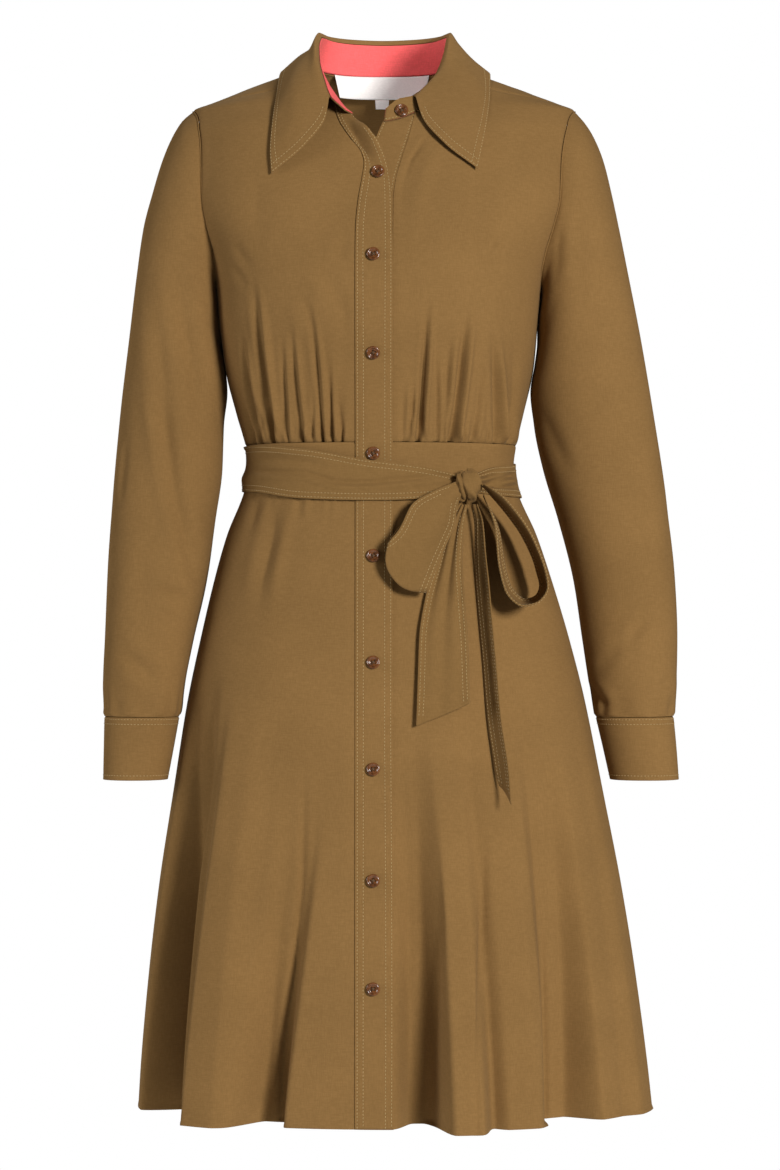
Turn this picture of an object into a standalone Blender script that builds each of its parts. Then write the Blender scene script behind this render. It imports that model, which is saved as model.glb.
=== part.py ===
"""Shirt dress with a gathered waist, a flared skirt, long cuffed sleeves and a tied sash belt.

The dress keeps the hollow form it has when worn. +Z is up, the front faces -Y and the wearer's
left is +X. The origin lies between the shoulders, level with the sides of the neck.
Every length in the tables is in millimetres; objects are built in metres.
"""

import math

import bpy
from mathutils import Matrix, Vector

MM = 0.001

# ---------------------------------------------------------------- driving sizes (mm)
WALL = 1.3              # thickness of a cloth panel
BAND_WALL = 1.5         # placket, collar and belt, which are two layers of cloth
FACING_WALL = 1.0       # coral facing, label and size tab
SEAM = 0.3              # gap between two pieces that are sewn together
SEAM_ALLOWANCE = 0.45   # how far each of two panels keeps back from their common seam

NECK_HALF_WIDTH = 64.0
NECK_SIDE_Z = -5.0
NECK_FRONT_DROP = 64.0
NECK_TURN = -9.0        # the front of the neck sits this far towards the wearer's right
SHOULDER_SEAM_Z = -18.0  # where the forward shoulder seam meets the neck

ARM_TOP_Z = -48.0
ARM_BOTTOM_Z = -220.0
ARM_FRONT_REACH = 55.0
ARM_BACK_REACH = 63.0
ARM_ROUNDNESS = 0.85
SLEEVE_ROUNDNESS = 0.92  # below 1 the sleeve's section is fuller than an ellipse
FLARE_RISE = 1.2        # above 1 a flare opens faster towards the hem
SHARP_ANGLE = 40.0      # degrees between two faces above which their edge stays sharp

WAIST_Z = -365.0
BAND_BOTTOM_Z = -405.0
HEM_Z = -990.0

PLACKET_EDGE_RIGHT = -26.0
PLACKET_EDGE_LEFT = 7.5
PLACKET_LAP = 2.0       # the top placket lies this far over the right front
PLACKET_LIFT = 0.8      # gap between the two plackets
BESIDE_PLACKET = 2.2    # from the placket's edge to the left waistband and left skirt front
STAND_GAP = 1.1         # from the neck seam up to the stand
STAND_ON_PLACKET = (216.0, 224.0)  # ring angles between which the stand climbs on the placket
COLLAR_ROOT_GAP = 2.6   # from the stand's top edge up to the first row of the fall

BUTTON_RADIUS = 6.2
BUTTON_THICK = 2.8
BUTTON_HOLE = 0.8
BUTTON_HOLE_SPREAD = 1.9

CUFF_LAP = 22.0         # degrees of overlap where the cuff buttons

# ---------------------------------------------------------------- samples along the pieces
ARM_STEPS = 8
SIDE_SEAM_STEPS = 4
FRONT_COLUMNS = 8
BACK_NECK_ANGLES = tuple(range(0, 181, 15))
BAND_FRONT_COLUMNS = 10
BAND_BACK_COLUMNS = 16
SKIRT_FRONT_COLUMNS = 15
SKIRT_BACK_COLUMNS = 20
PLACKET_COLUMNS = 2
CUFF_COLUMNS = 20
FALL_RUNS = (0.0, 0.6, 1.0, 1.6, 2.3, 3.1, 4.0)  # rows of the collar's fall: 1 is its crest, 4 its edge
TOP_FADE = 4            # how fast a panel's rows straighten away from a curved edge
WAISTBAND_ROWS = (WAIST_Z, -385.0, BAND_BOTTOM_Z)
SKIRT_ROWS = (-430.0, -475.0, -540.0, -615.0, -695.0, -780.0, -860.0, -930.0)

# ---------------------------------------------------------------- tables (mm)
# Level sections of the body and skirt.
BODY = (
    # z, half_width, front, back, centre_x, power
    (-5.0, 66.0, 34.0, 66.0, 0.0, 2.0),
    (-12.0, 90.0, 40.0, 71.0, 0.0, 2.0),
    (-19.0, 110.0, 46.0, 77.0, 0.0, 2.0),
    (-26.0, 128.0, 53.0, 82.0, 0.0, 2.0),
    (-34.0, 147.0, 60.0, 86.0, 0.0, 2.05),
    (-41.0, 165.0, 66.0, 89.0, 0.0, 2.1),
    (-48.0, 181.5, 72.0, 92.0, 0.0, 2.15),
    (-60.0, 183.0, 82.0, 95.5, -0.5, 2.3),
    (-69.0, 183.5, 88.0, 98.0, -1.0, 2.4),
    (-105.0, 184.0, 100.0, 105.0, -2.5, 2.5),
    (-134.0, 182.0, 109.0, 108.5, -3.0, 2.5),
    (-160.0, 174.0, 116.0, 109.5, -4.0, 2.45),
    (-187.0, 162.0, 121.5, 108.5, -4.5, 2.4),
    (-205.0, 156.5, 124.0, 107.0, -5.0, 2.35),
    (-220.0, 154.0, 125.0, 105.5, -5.0, 2.3),
    (-245.0, 151.5, 124.0, 102.5, -5.0, 2.3),
    (-293.0, 146.0, 114.5, 96.5, -4.0, 2.25),
    (-335.0, 136.0, 103.0, 91.0, -3.5, 2.2),
    (-365.0, 128.5, 97.0, 88.0, -3.0, 2.2),
    (-385.0, 126.0, 94.5, 88.0, -3.0, 2.2),
    (-405.0, 129.0, 96.0, 91.0, -3.0, 2.2),
    (-450.0, 147.0, 106.0, 112.0, -2.0, 2.2),
    (-492.0, 160.0, 113.0, 126.0, -1.0, 2.2),
    (-549.0, 175.0, 121.0, 138.0, 0.5, 2.2),
    (-606.0, 188.0, 128.0, 147.0, 1.5, 2.2),
    (-692.0, 203.0, 137.0, 157.0, 3.0, 2.2),
    (-777.0, 217.0, 144.0, 165.0, 4.0, 2.2),
    (-863.0, 228.0, 149.0, 171.0, 5.0, 2.2),
    (-948.0, 236.5, 152.0, 176.0, 6.0, 2.2),
    (-990.0, 239.5, 153.0, 178.0, 6.5, 2.2),
)

# Flares of the skirt. Angles run from the wearer's left side (0) through the back (90).
FLARES = (
    # angle, reach at the hem, width towards smaller angle, width towards larger, top z
    (-154.0, -46.0, 15.0, 13.0, -560.0),
    (-134.0, 22.0, 8.0, 15.0, -600.0),
    (-117.0, -28.0, 11.0, 8.0, -620.0),
    (-82.0, -42.0, 6.0, 7.0, -620.0),
    (-75.0, 40.0, 9.0, 7.0, -600.0),
    (-63.0, 14.0, 8.0, 9.0, -640.0),
    (-48.0, -36.0, 8.0, 13.0, -600.0),
    (-14.0, 10.0, 14.0, 14.0, -560.0),
    (20.0, -28.0, 14.0, 12.0, -600.0),
    (41.0, 20.0, 12.0, 11.0, -560.0),
    (59.0, -30.0, 11.0, 12.0, -640.0),
    (77.0, 24.0, 11.0, 10.0, -580.0),
    (93.0, -24.0, 10.0, 11.0, -620.0),
    (110.0, 26.0, 11.0, 12.0, -600.0),
    (128.0, -30.0, 12.0, 10.0, -560.0),
    (146.0, 18.0, 11.0, 12.0, -620.0),
    (164.0, -24.0, 12.0, 12.0, -600.0),
)

# Forward shoulder seam between the neck and the armhole, measured from the centre line.
SHOULDER_SEAM = (
    # x, z
    (84.0, -27.0),
    (112.0, -34.0),
    (147.0, -39.0),
)

# Edges of the top placket (wearer's right front) and of the under placket.
OVER_OUTER_EDGE = (
    # x, z of its sewn edge
    (-49.0, -41.5), (-38.0, -66.0), (-29.5, -90.0), (-26.0, -114.0), (-26.0, -140.0),
    (-26.0, -200.0), (-26.0, -990.0),
)
OVER_FREE_EDGE = (
    (-30.5, -62.5), (-14.0, -82.0), (-2.0, -99.0), (4.5, -117.0), (7.2, -138.0),
    (7.5, -200.0), (7.5, -990.0),
)
UNDER_FREE_EDGE = (
    (-1.0, -68.6), (-9.0, -88.0), (-16.0, -106.0), (-21.0, -125.0), (-23.2, -145.0),
    (-23.4, -200.0), (-23.4, -990.0),
)
UNDER_SEWN_EDGE = (
    (29.0, -57.0), (23.5, -80.0), (17.0, -101.0), (11.0, -122.0), (8.4, -142.0),
    (7.8, -200.0), (7.8, -990.0),
)

# Collar stand, from the tip on the wearer's right round the back to the left tip.
STAND = (
    # ring angle, x, y, z of its top edge
    (250.0, -35.0, -93.0, -59.0),
    (246.0, -42.0, -93.0, -53.0),
    (240.0, -49.0, -88.0, -46.0),
    (229.0, -55.0, -76.0, -29.0),
    (214.0, -60.0, -58.0, -8.0),
    (198.0, -61.0, -34.0, 10.0),
    (180.0, -58.5, -5.0, 22.0),
    (150.0, -52.0, 30.0, 25.0),
    (120.0, -31.0, 52.5, 25.0),
    (90.0, 0.0, 60.5, 25.0),
    (60.0, 31.0, 52.5, 25.0),
    (30.0, 53.0, 30.0, 25.0),
    (0.0, 59.5, -5.0, 22.0),
    (-20.0, 57.0, -28.0, 5.0),
    (-40.0, 50.0, -48.0, -17.0),
    (-56.0, 38.0, -66.0, -34.0),
    (-67.0, 27.0, -76.0, -43.0),
    (-76.0, 13.0, -82.0, -47.0),
    (-82.0, 2.0, -86.5, -56.0),
)

# Fall of the collar, at the same ring angles: from the stand over the roll to the outer edge.
FALL = (
    # ring angle, crest x y z, upper x y z, middle x y z, edge x y z
    (240.0, (-50.5, -93.0, -48.0), (-54.0, -101.0, -67.0), (-73.0, -105.0, -93.0), (-104.0, -99.0, -118.0)),
    (229.0, (-58.0, -81.0, -26.0), (-65.0, -90.0, -42.0), (-84.0, -96.0, -67.0), (-105.5, -93.0, -96.0)),
    (214.0, (-63.5, -63.0, -3.0), (-70.0, -71.0, -17.0), (-87.0, -80.0, -40.0), (-103.5, -82.0, -66.0)),
    (198.0, (-64.5, -37.0, 15.5), (-70.5, -43.0, 4.0), (-85.0, -51.0, -14.0), (-101.0, -57.0, -40.0)),
    (180.0, (-61.5, -6.0, 27.0), (-65.5, -8.0, 15.0), (-80.0, -9.0, 4.0), (-98.0, -9.0, -11.5)),
    (150.0, (-56.0, 32.0, 30.5), (-61.0, 36.0, 22.0), (-73.0, 43.0, 5.0), (-87.0, 50.0, -13.0)),
    (120.0, (-33.0, 56.0, 30.5), (-36.5, 62.0, 23.0), (-42.0, 69.0, 3.0), (-48.0, 75.0, -19.0)),
    (90.0, (0.0, 64.5, 30.5), (0.0, 70.5, 23.0), (0.0, 76.5, 3.0), (0.0, 82.0, -20.0)),
    (60.0, (33.0, 56.0, 30.5), (36.5, 62.0, 23.0), (42.0, 69.0, 3.0), (48.0, 75.0, -19.0)),
    (30.0, (57.0, 32.0, 30.5), (62.0, 36.0, 22.0), (74.0, 43.0, 5.0), (88.0, 50.0, -13.0)),
    (0.0, (63.0, -6.0, 27.0), (71.0, -8.0, 16.0), (84.0, -9.0, 1.5), (101.0, -9.0, -12.5)),
    (-20.0, (60.5, -31.0, 10.0), (68.0, -38.0, -1.0), (84.0, -47.0, -18.0), (99.5, -56.0, -40.0)),
    (-40.0, (53.5, -53.0, -13.0), (61.0, -65.0, -24.0), (78.0, -76.0, -46.0), (95.5, -83.0, -70.0)),
    (-56.0, (41.0, -72.0, -31.0), (47.0, -84.0, -46.0), (66.0, -94.0, -70.0), (91.0, -94.0, -94.0)),
    (-67.0, (29.0, -82.0, -44.0), (36.0, -93.0, -66.0), (57.0, -102.0, -91.0), (87.0, -101.0, -113.5)),
)

# Sleeves, from below the shoulder to the cuff seam, measured outwards from the middle.
SLEEVE_RIGHT = (
    # outer_x, outer_z, inner_x, inner_z, centre_y, half_depth
    (190.0, -55.0, 161.0, -228.0, 4.0, 60.0),
    (200.0, -69.0, 161.5, -236.0, 4.0, 60.0),
    (211.0, -93.0, 161.0, -250.0, 4.0, 59.0),
    (220.0, -122.0, 160.0, -267.0, 4.0, 58.0),
    (229.0, -158.0, 157.5, -288.0, 3.0, 56.0),
    (235.0, -205.0, 154.5, -314.0, 2.0, 54.0),
    (241.0, -262.0, 152.5, -345.0, 0.0, 53.0),
    (249.0, -330.0, 153.5, -386.0, -2.0, 52.0),
    (257.0, -410.0, 160.0, -437.0, -5.0, 51.0),
    (262.5, -480.0, 168.0, -494.0, -9.0, 50.0),
    (265.0, -545.0, 181.0, -550.0, -14.0, 46.0),
    (266.5, -590.0, 189.5, -593.0, -18.0, 41.0),
    (264.5, -620.5, 193.0, -621.0, -20.0, 35.5),
)
SLEEVE_LEFT = (
    (188.0, -55.0, 153.5, -228.0, 4.0, 60.0),
    (198.0, -69.0, 154.0, -236.0, 4.0, 60.0),
    (208.5, -93.0, 153.0, -250.0, 4.0, 59.0),
    (216.0, -122.0, 151.5, -267.0, 4.0, 58.0),
    (223.5, -158.0, 149.0, -288.0, 3.0, 56.0),
    (232.5, -205.0, 145.5, -314.0, 2.0, 54.0),
    (243.0, -262.0, 143.0, -345.0, 0.0, 53.0),
    (254.0, -330.0, 151.0, -386.0, -2.0, 52.0),
    (266.0, -410.0, 165.5, -437.0, -5.0, 51.0),
    (274.0, -480.0, 179.0, -494.0, -9.0, 50.0),
    (277.0, -545.0, 187.0, -550.0, -14.0, 46.0),
    (276.0, -590.0, 193.5, -593.0, -18.0, 41.0),
    (274.0, -620.5, 199.5, -621.0, -20.0, 35.5),
)
CUFF_RIGHT = (
    (264.0, -620.8, 193.5, -621.3, -20.0, 35.0),
    (264.5, -650.0, 198.5, -650.0, -21.5, 32.0),
    (265.0, -680.0, 204.0, -680.0, -23.0, 30.5),
)
CUFF_LEFT = (
    (273.5, -620.8, 200.0, -621.3, -20.0, 35.0),
    (276.0, -650.0, 206.5, -650.0, -21.5, 32.0),
    (278.0, -680.0, 213.0, -680.0, -23.0, 30.5),
)

# Top and bottom edge of the belt, from the knot round the wearer's right, the back and the left.
BELT = (
    # angle, top z, bottom z
    (-59.0, -395.5, -415.0),
    (-72.0, -389.0, -418.0),
    (-92.0, -382.0, -420.0),
    (-120.0, -373.0, -418.0),
    (-150.0, -368.0, -411.0),
    (-180.0, -367.0, -409.0),
    (-231.0, -370.0, -414.0),
    (-300.0, -374.0, -417.0),
    (-360.0, -382.0, -415.0),
    (-375.0, -384.0, -415.0),
    (-396.0, -387.0, -414.0),
    (-408.5, -395.0, -411.0),
)
BELT_STAND_OFF = 4.7    # outer face of the belt, off the body surface
BELT_COLUMNS = 40

KNOT_CENTRE = (78.0, -95.5, -407.0)
KNOT_RADII = (12.5, 9.5, 16.0)

# Ribbons of the bow: centre line, and half of the width.
BOW = {
    "belt_loop_right": (
        ((68.6, -103.3, -408.0), (2.5, 0.0, -6.0)),
        ((56.0, -113.0, -419.0), (11.0, -1.0, -8.0)),
        ((44.0, -120.0, -436.0), (19.0, -2.5, -12.0)),
        ((34.5, -127.0, -456.0), (18.5, -2.5, -13.5)),
        ((24.0, -131.5, -477.0), (17.0, -1.5, -22.0)),
        ((21.5, -127.0, -481.0), (17.0, 0.0, -23.0)),
        ((31.0, -120.5, -461.0), (18.0, 0.0, -16.0)),
        ((44.0, -113.0, -440.0), (15.0, 0.0, -11.0)),
        ((57.0, -106.5, -421.0), (9.0, 0.0, -8.0)),
        ((64.5, -100.5, -411.0), (2.0, 0.0, -5.0)),
    ),
    "belt_loop_left": (
        ((91.5, -98.0, -405.0), (0.5, -6.0, 1.0)),
        ((108.0, -101.0, -420.0), (3.0, -13.0, 2.0)),
        ((131.0, -104.0, -451.0), (4.0, -18.0, 0.0)),
        ((144.0, -106.0, -482.0), (4.0, -20.0, -2.0)),
        ((147.0, -107.0, -498.0), (3.0, -20.0, -2.0)),
        ((140.0, -108.0, -510.0), (0.0, -20.0, -3.0)),
        ((129.0, -108.5, -513.0), (-2.0, -20.0, -3.0)),
        ((116.0, -108.0, -503.0), (-3.0, -20.0, -2.0)),
        ((109.0, -106.0, -480.0), (-3.0, -18.0, 0.0)),
        ((105.0, -102.0, -446.0), (-2.0, -13.0, 1.0)),
        ((92.5, -97.5, -414.0), (0.0, -6.0, 1.0)),
    ),
    "belt_tail_right": (
        ((73.0, -96.5, -423.0), (4.0, 0.0, 0.0)),
        ((66.0, -100.0, -442.0), (8.0, 0.0, 0.0)),
        ((60.0, -109.5, -475.0), (12.0, -0.5, 0.0)),
        ((56.0, -118.0, -510.0), (18.0, -1.0, 0.0)),
        ((54.5, -124.0, -545.0), (22.0, 0.0, 0.0)),
        ((54.5, -130.0, -585.0), (23.5, 0.0, 0.0)),
        ((54.0, -136.0, -615.0), (24.5, 0.0, 10.5)),
    ),
    "belt_tail_left": (
        ((83.0, -97.0, -422.6), (3.0, -3.0, 0.0)),
        ((87.0, -104.0, -440.0), (4.0, -6.0, 0.0)),
        ((88.5, -108.0, -467.0), (5.0, -8.0, 0.0)),
        ((91.0, -112.0, -500.0), (6.0, -9.0, 0.0)),
        ((94.0, -117.0, -535.0), (6.0, -9.0, 0.0)),
        ((97.0, -121.0, -569.0), (6.0, -9.0, 0.0)),
        ((100.5, -127.0, -614.0), (6.0, -9.0, 0.0)),
        ((107.0, -133.0, -660.0), (6.0, -9.0, 0.0)),
        ((110.5, -137.0, -688.0), (5.0, -9.0, -8.0)),
    ),
}

# Buttons of the placket, by the height of their centres.
BUTTON_HEIGHTS = (-118.0, -195.0, -283.5, -375.0, -470.5, -568.0, -665.0, -765.5, -863.0)
BUTTON_LINE_X = -9.6
TOP_BUTTON_X = -5.5
STAND_BUTTON_ANGLE = -70.5
STAND_BUTTON_RISE = 0.32

LABEL_HALF_WIDTH = 46.5
LABEL_TOP_Z = -6.5
LABEL_BOTTOM_Z = -29.0
TAB_HALF_WIDTH = 7.0
TAB_BOTTOM_Z = -40.5
LABEL_CENTRE_X = -2.0
LABEL_INSET = 1.9       # from the back's outer surface to the label's top edge

# ---------------------------------------------------------------- materials
KHAKI = (0.212, 0.122, 0.047)
CORAL = (0.930, 0.160, 0.165)
WHITE = (0.880, 0.890, 0.870)
TORTOISE = (0.090, 0.035, 0.015)


def make_material(name, color, roughness):
    """A Principled material with one colour."""
    material = bpy.data.materials.new(name)
    material.use_nodes = True
    shader = material.node_tree.nodes["Principled BSDF"]
    shader.inputs["Base Color"].default_value = (*color, 1.0)
    shader.inputs["Roughness"].default_value = roughness
    shader.inputs["Metallic"].default_value = 0.0
    return material


# ---------------------------------------------------------------- curves through tables
def ease(t):
    """Smooth step from 0 to 1."""
    t = min(max(t, 0.0), 1.0)
    return t * t * (3.0 - 2.0 * t)


def follow(xs, ys, x):
    """Value at x of the smooth curve through the points (xs, ys), xs rising or falling."""
    if xs[0] > xs[-1]:
        xs = [-value for value in xs]
        x = -x
    last = len(xs) - 1
    if x <= xs[0]:
        return ys[0]
    if x >= xs[last]:
        return ys[last]
    k = max(i for i in range(last) if xs[i] <= x)

    def slope(i):
        if i == 0 or i == last:
            j = min(i, last - 1)
            return (ys[j + 1] - ys[j]) / (xs[j + 1] - xs[j])
        before = (ys[i] - ys[i - 1]) / (xs[i] - xs[i - 1])
        after = (ys[i + 1] - ys[i]) / (xs[i + 1] - xs[i])
        if before * after <= 0.0:
            return 0.0
        return 2.0 * before * after / (before + after)

    span = xs[k + 1] - xs[k]
    t = (x - xs[k]) / span
    rise = t * t * (3.0 - 2.0 * t)
    return (ys[k] * (1.0 - rise) + ys[k + 1] * rise
            + span * slope(k) * t * (1.0 - t) ** 2 - span * slope(k + 1) * t * t * (1.0 - t))


def column(table, index):
    return [row[index] for row in table]


def follow_point(xs, points, x):
    """A point of the smooth curve through 3-D points."""
    return Vector([follow(xs, [p[i] for p in points], x) for i in range(3)])


def signed_power(value, power):
    return math.copysign(abs(value) ** power, value)


# ---------------------------------------------------------------- the body surface
BODY_Z = column(BODY, 0)
BODY_COLUMNS = [column(BODY, i) for i in range(1, 6)]


def section(z):
    """half_width, front, back, centre_x and power of the level section at z."""
    return [follow(BODY_Z, values, z) for values in BODY_COLUMNS]


def flare(angle, z):
    """How far the skirt stands out (+) or in (-) of its plain section."""
    total = 0.0
    degrees = math.degrees(angle)
    for centre, reach, width_down, width_up, top_z in FLARES:
        away = (degrees - centre + 180.0) % 360.0 - 180.0
        width = width_up if away > 0.0 else width_down
        if abs(away) < width and z < top_z:
            fall = (top_z - z) / (top_z - HEM_Z)
            total += reach * ease(1.0 - abs(away) / width) * fall ** FLARE_RISE
    return total


def on_section(angle, z):
    half, front, back, centre, power = section(z)
    cos, sin = math.cos(angle), math.sin(angle)
    depth = front if sin < 0.0 else back
    point = Vector((centre + half * signed_power(cos, 2.0 / power),
                    depth * signed_power(sin, 2.0 / power), z))
    lift = flare(angle, z)
    if lift:
        away = Vector((signed_power(cos, 2.0 - 2.0 / power) / half,
                       signed_power(sin, 2.0 - 2.0 / power) / depth, 0.0))
        point += away.normalized() * lift
    return point


def skin(angle, z, out=0.0):
    """Point of the dress's outer surface, moved out along its normal."""
    point = on_section(angle, z)
    if out:
        across = on_section(angle + 0.02, z) - on_section(angle - 0.02, z)
        down = on_section(angle, z - 1.0) - on_section(angle, min(z + 1.0, NECK_SIDE_Z))
        point += down.cross(across).normalized() * out
    return point


def angle_at_x(x, z):
    """Angle of the front of the section at z where it passes x."""
    half, _, _, centre, power = section(z)
    share = max(-1.0, min(1.0, (x - centre) / half))
    return -math.acos(signed_power(share, power / 2.0))


def mirrored(angle):
    """The same place on the wearer's other side."""
    return -math.pi - angle if angle <= 0.0 else math.pi - angle


# ---------------------------------------------------------------- seam lines, as (angle, z)
def neck_place(degrees):
    """Angle and z of the neck seam at a ring angle: 0 left, 90 back, 180 right, 270 front."""
    theta = math.radians(degrees)
    cos, sin = math.cos(theta), math.sin(theta)
    if sin >= 0.0:
        z = NECK_SIDE_Z
        half, _, _, _, power = section(z)
        share = NECK_HALF_WIDTH * cos / half
        return math.acos(signed_power(share, power / 2.0)), z
    z = NECK_SIDE_Z - NECK_FRONT_DROP * (abs(sin) if cos > 0.0 else sin * sin)
    half, _, _, centre, power = section(z)
    x = NECK_HALF_WIDTH * cos + NECK_TURN * sin * sin - centre
    return -math.acos(signed_power(x / half, power / 2.0)), z


def neck_point(degrees, out=0.0):
    angle, z = neck_place(degrees)
    return skin(angle, z, out)


def shoulder_neck_angle(side):
    """Ring angle of the neck end of the shoulder seam."""
    drop = (NECK_SIDE_Z - SHOULDER_SEAM_Z) / NECK_FRONT_DROP
    if side > 0:
        return -math.degrees(math.asin(drop))
    return 180.0 + math.degrees(math.asin(math.sqrt(drop)))


def shoulder_seam(side):
    """Places along the shoulder seam, from the neck to just before the armhole."""
    places = [neck_place(shoulder_neck_angle(side))]
    for x, z in SHOULDER_SEAM:
        angle = angle_at_x(x, z)
        places.append((angle if side > 0 else mirrored(angle), z))
    return places


def armhole(side, front):
    """Places round the armhole, from the shoulder down to the underarm."""
    places = []
    for step in range(ARM_STEPS + 1):
        turn = math.pi * (0.5 - step / ARM_STEPS)
        middle = 0.5 * (ARM_TOP_Z + ARM_BOTTOM_Z)
        z = middle + 0.5 * (ARM_TOP_Z - ARM_BOTTOM_Z) * math.sin(turn)
        reach = ARM_FRONT_REACH if front else ARM_BACK_REACH
        y = reach * max(math.cos(turn), 0.0) ** ARM_ROUNDNESS
        _, front_depth, back_depth, _, power = section(z)
        depth = front_depth if front else back_depth
        angle = math.asin((y / depth) ** (power / 2.0))
        angle = -angle if front else angle
        places.append((angle if side > 0 else mirrored(angle), z))
    return places


def side_seam(side, top, bottom, steps):
    angle = 0.0 if side > 0 else math.pi
    return [(angle, top + (bottom - top) * k / steps) for k in range(steps + 1)]


def side_edge(side, front):
    """The whole outer edge of a bodice panel: shoulder seam, armhole and side seam."""
    places = shoulder_seam(side) + armhole(side, front)
    places += side_seam(side, ARM_BOTTOM_Z, WAIST_Z, SIDE_SEAM_STEPS)[1:]
    if front and side < 0:
        places = [(angle if angle < 0.0 else angle - 2.0 * math.pi, z) for angle, z in places]
    if not front and side < 0:
        places = [(angle if angle > 0.0 else angle + 2.0 * math.pi, z) for angle, z in places]
    return places


def run_of(places):
    """How far down its edge each place lies, from 0 to 1."""
    top, bottom = places[0][1], places[-1][1]
    return [(top - z) / (top - bottom) for _, z in places]


def edge_places(edge, bottom, runs, shift=0.0):
    """Places along a front edge that follows a table of (x, z)."""
    top = edge[0][1]
    places = []
    for run in runs:
        z = top + (bottom - top) * run
        places.append((angle_at_x(follow(column(edge, 1), column(edge, 0), z) + shift, z), z))
    return places


def patch(left, right, top, bottom, runs, shares):
    """Places of a four-sided panel: straight across, bent to its top and bottom edges."""
    last = len(top) - 1
    rows = []
    for i, t in enumerate(runs):
        row = []
        for j, s in enumerate(shares):
            place = []
            for axis in (0, 1):
                above = top[j][axis] - (1 - s) * top[0][axis] - s * top[last][axis]
                below = bottom[j][axis] - (1 - s) * bottom[0][axis] - s * bottom[last][axis]
                place.append((1 - s) * left[i][axis] + s * right[i][axis]
                             + above * (1 - t) ** TOP_FADE + below * t ** TOP_FADE)
            row.append(tuple(place))
        rows.append(row)
    return rows


def spread(first, last, count):
    return [first + (last - first) * k / count for k in range(count + 1)]


def halved(values):
    """The values with one more halfway between each two."""
    result = [values[0]]
    for first, second in zip(values, values[1:]):
        result += [0.5 * (first + second), second]
    return result


def between(first, last, shares):
    return [first + (last - first) * share for share in shares]


# ---------------------------------------------------------------- solids from grids
parts = None


def draw_in(rows, gap, edges):
    """Move the named edges of a grid of points towards its middle by gap."""
    rows = [[Vector(point) for point in row] for row in rows]
    if "top" in edges:
        rows[0] = [a + (b - a).normalized() * gap for a, b in zip(rows[0], rows[1])]
    if "bottom" in edges:
        rows[-1] = [a + (b - a).normalized() * gap for a, b in zip(rows[-1], rows[-2])]
    for row in rows:
        if "left" in edges:
            row[0] = row[0] + (row[1] - row[0]).normalized() * gap
        if "right" in edges:
            row[-1] = row[-1] + (row[-2] - row[-1]).normalized() * gap
    return rows


def cloth(name, rows, material, wall=WALL, closed=False, flip=False, offset=-1.0):
    """A cloth wall: the grid of points (mm) given a thickness."""
    mesh = bpy.data.meshes.new(name)
    width = len(rows[0])
    points = [tuple(point * MM for point in vertex) for row in rows for vertex in row]
    faces = []
    for i in range(len(rows) - 1):
        for j in range(width if closed else width - 1):
            k = (j + 1) % width
            face = (i * width + j, (i + 1) * width + j, (i + 1) * width + k, i * width + k)
            faces.append((face[0], face[3], face[2], face[1]) if flip else face)
    mesh.from_pydata(points, [], faces)
    mesh.shade_smooth()
    mesh.set_sharp_from_angle(angle=math.radians(SHARP_ANGLE))
    obj = bpy.data.objects.new(name, mesh)
    obj.data.materials.append(material)
    parts.objects.link(obj)
    shell = obj.modifiers.new("Wall", "SOLIDIFY")
    shell.thickness = wall * MM
    shell.offset = offset
    shell.use_rim = True


def skin_rows(places, out=0.0):
    return [[skin(angle, z, out) for angle, z in row] for row in places]


# ---------------------------------------------------------------- bodice, waistband and skirt
def make_front(side, khaki):
    """One bodice front, from its placket to the shoulder, armhole and side."""
    outer = side_edge(side, True)
    runs = run_of(outer)
    edge, shift = (OVER_OUTER_EDGE, PLACKET_LAP) if side < 0 else (UNDER_SEWN_EDGE, SEAM)
    inner = edge_places(edge, WAIST_Z, runs, shift)
    start = ring_angle_on_neck(inner[0][0], side)
    shares = spread(0.0, 1.0, FRONT_COLUMNS)
    top = [neck_place(a) for a in between(start, shoulder_neck_angle(side), shares)]
    if side < 0:
        top = [(a if a < 0.0 else a - 2.0 * math.pi, z) for a, z in top]
    top[0] = inner[0]
    bottom = [(a, WAIST_Z) for a in between(inner[-1][0], outer[-1][0], shares)]
    rows = skin_rows(patch(inner, outer, top, bottom, runs, shares))
    rows = draw_in(rows, SEAM_ALLOWANCE, ("top", "bottom", "right"))
    name = "front_left" if side > 0 else "front_right"
    cloth(name, rows, khaki, flip=side < 0)


def ring_angle_on_neck(angle, side):
    """Ring angle where the neck seam passes a body angle, on one side of the front."""
    low, high = (270.0, 359.0) if side > 0 else (181.0, 270.0)
    for _ in range(40):
        middle = 0.5 * (low + high)
        if neck_place(middle)[0] < angle:
            low = middle
        else:
            high = middle
    return low - 360.0 if side > 0 else low


def make_back(khaki):
    left, right = side_edge(1, False), side_edge(-1, False)
    runs = run_of(left)
    first, last = shoulder_neck_angle(1), shoulder_neck_angle(-1)
    top = []
    degrees_across = (first,) + BACK_NECK_ANGLES + (last,)
    shares = [(degrees - first) / (last - first) for degrees in degrees_across]
    for degrees in degrees_across:
        angle, z = neck_place(degrees)
        top.append((angle + 2.0 * math.pi if degrees > 180.0 else angle, z))
    bottom = [(a, WAIST_Z) for a in between(0.0, math.pi, shares)]
    rows = skin_rows(patch(left, right, top, bottom, runs, shares))
    rows = draw_in(rows, SEAM_ALLOWANCE, ("top", "bottom", "left", "right"))
    cloth("back", rows, khaki)


def level_panel(name, angles_at, heights, material, edges):
    """A panel between two heights whose ends follow angles_at(z)."""
    rows = [[skin(angle, z) for angle in angles_at(z)] for z in heights]
    cloth(name, draw_in(rows, SEAM_ALLOWANCE, edges), material)


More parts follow.
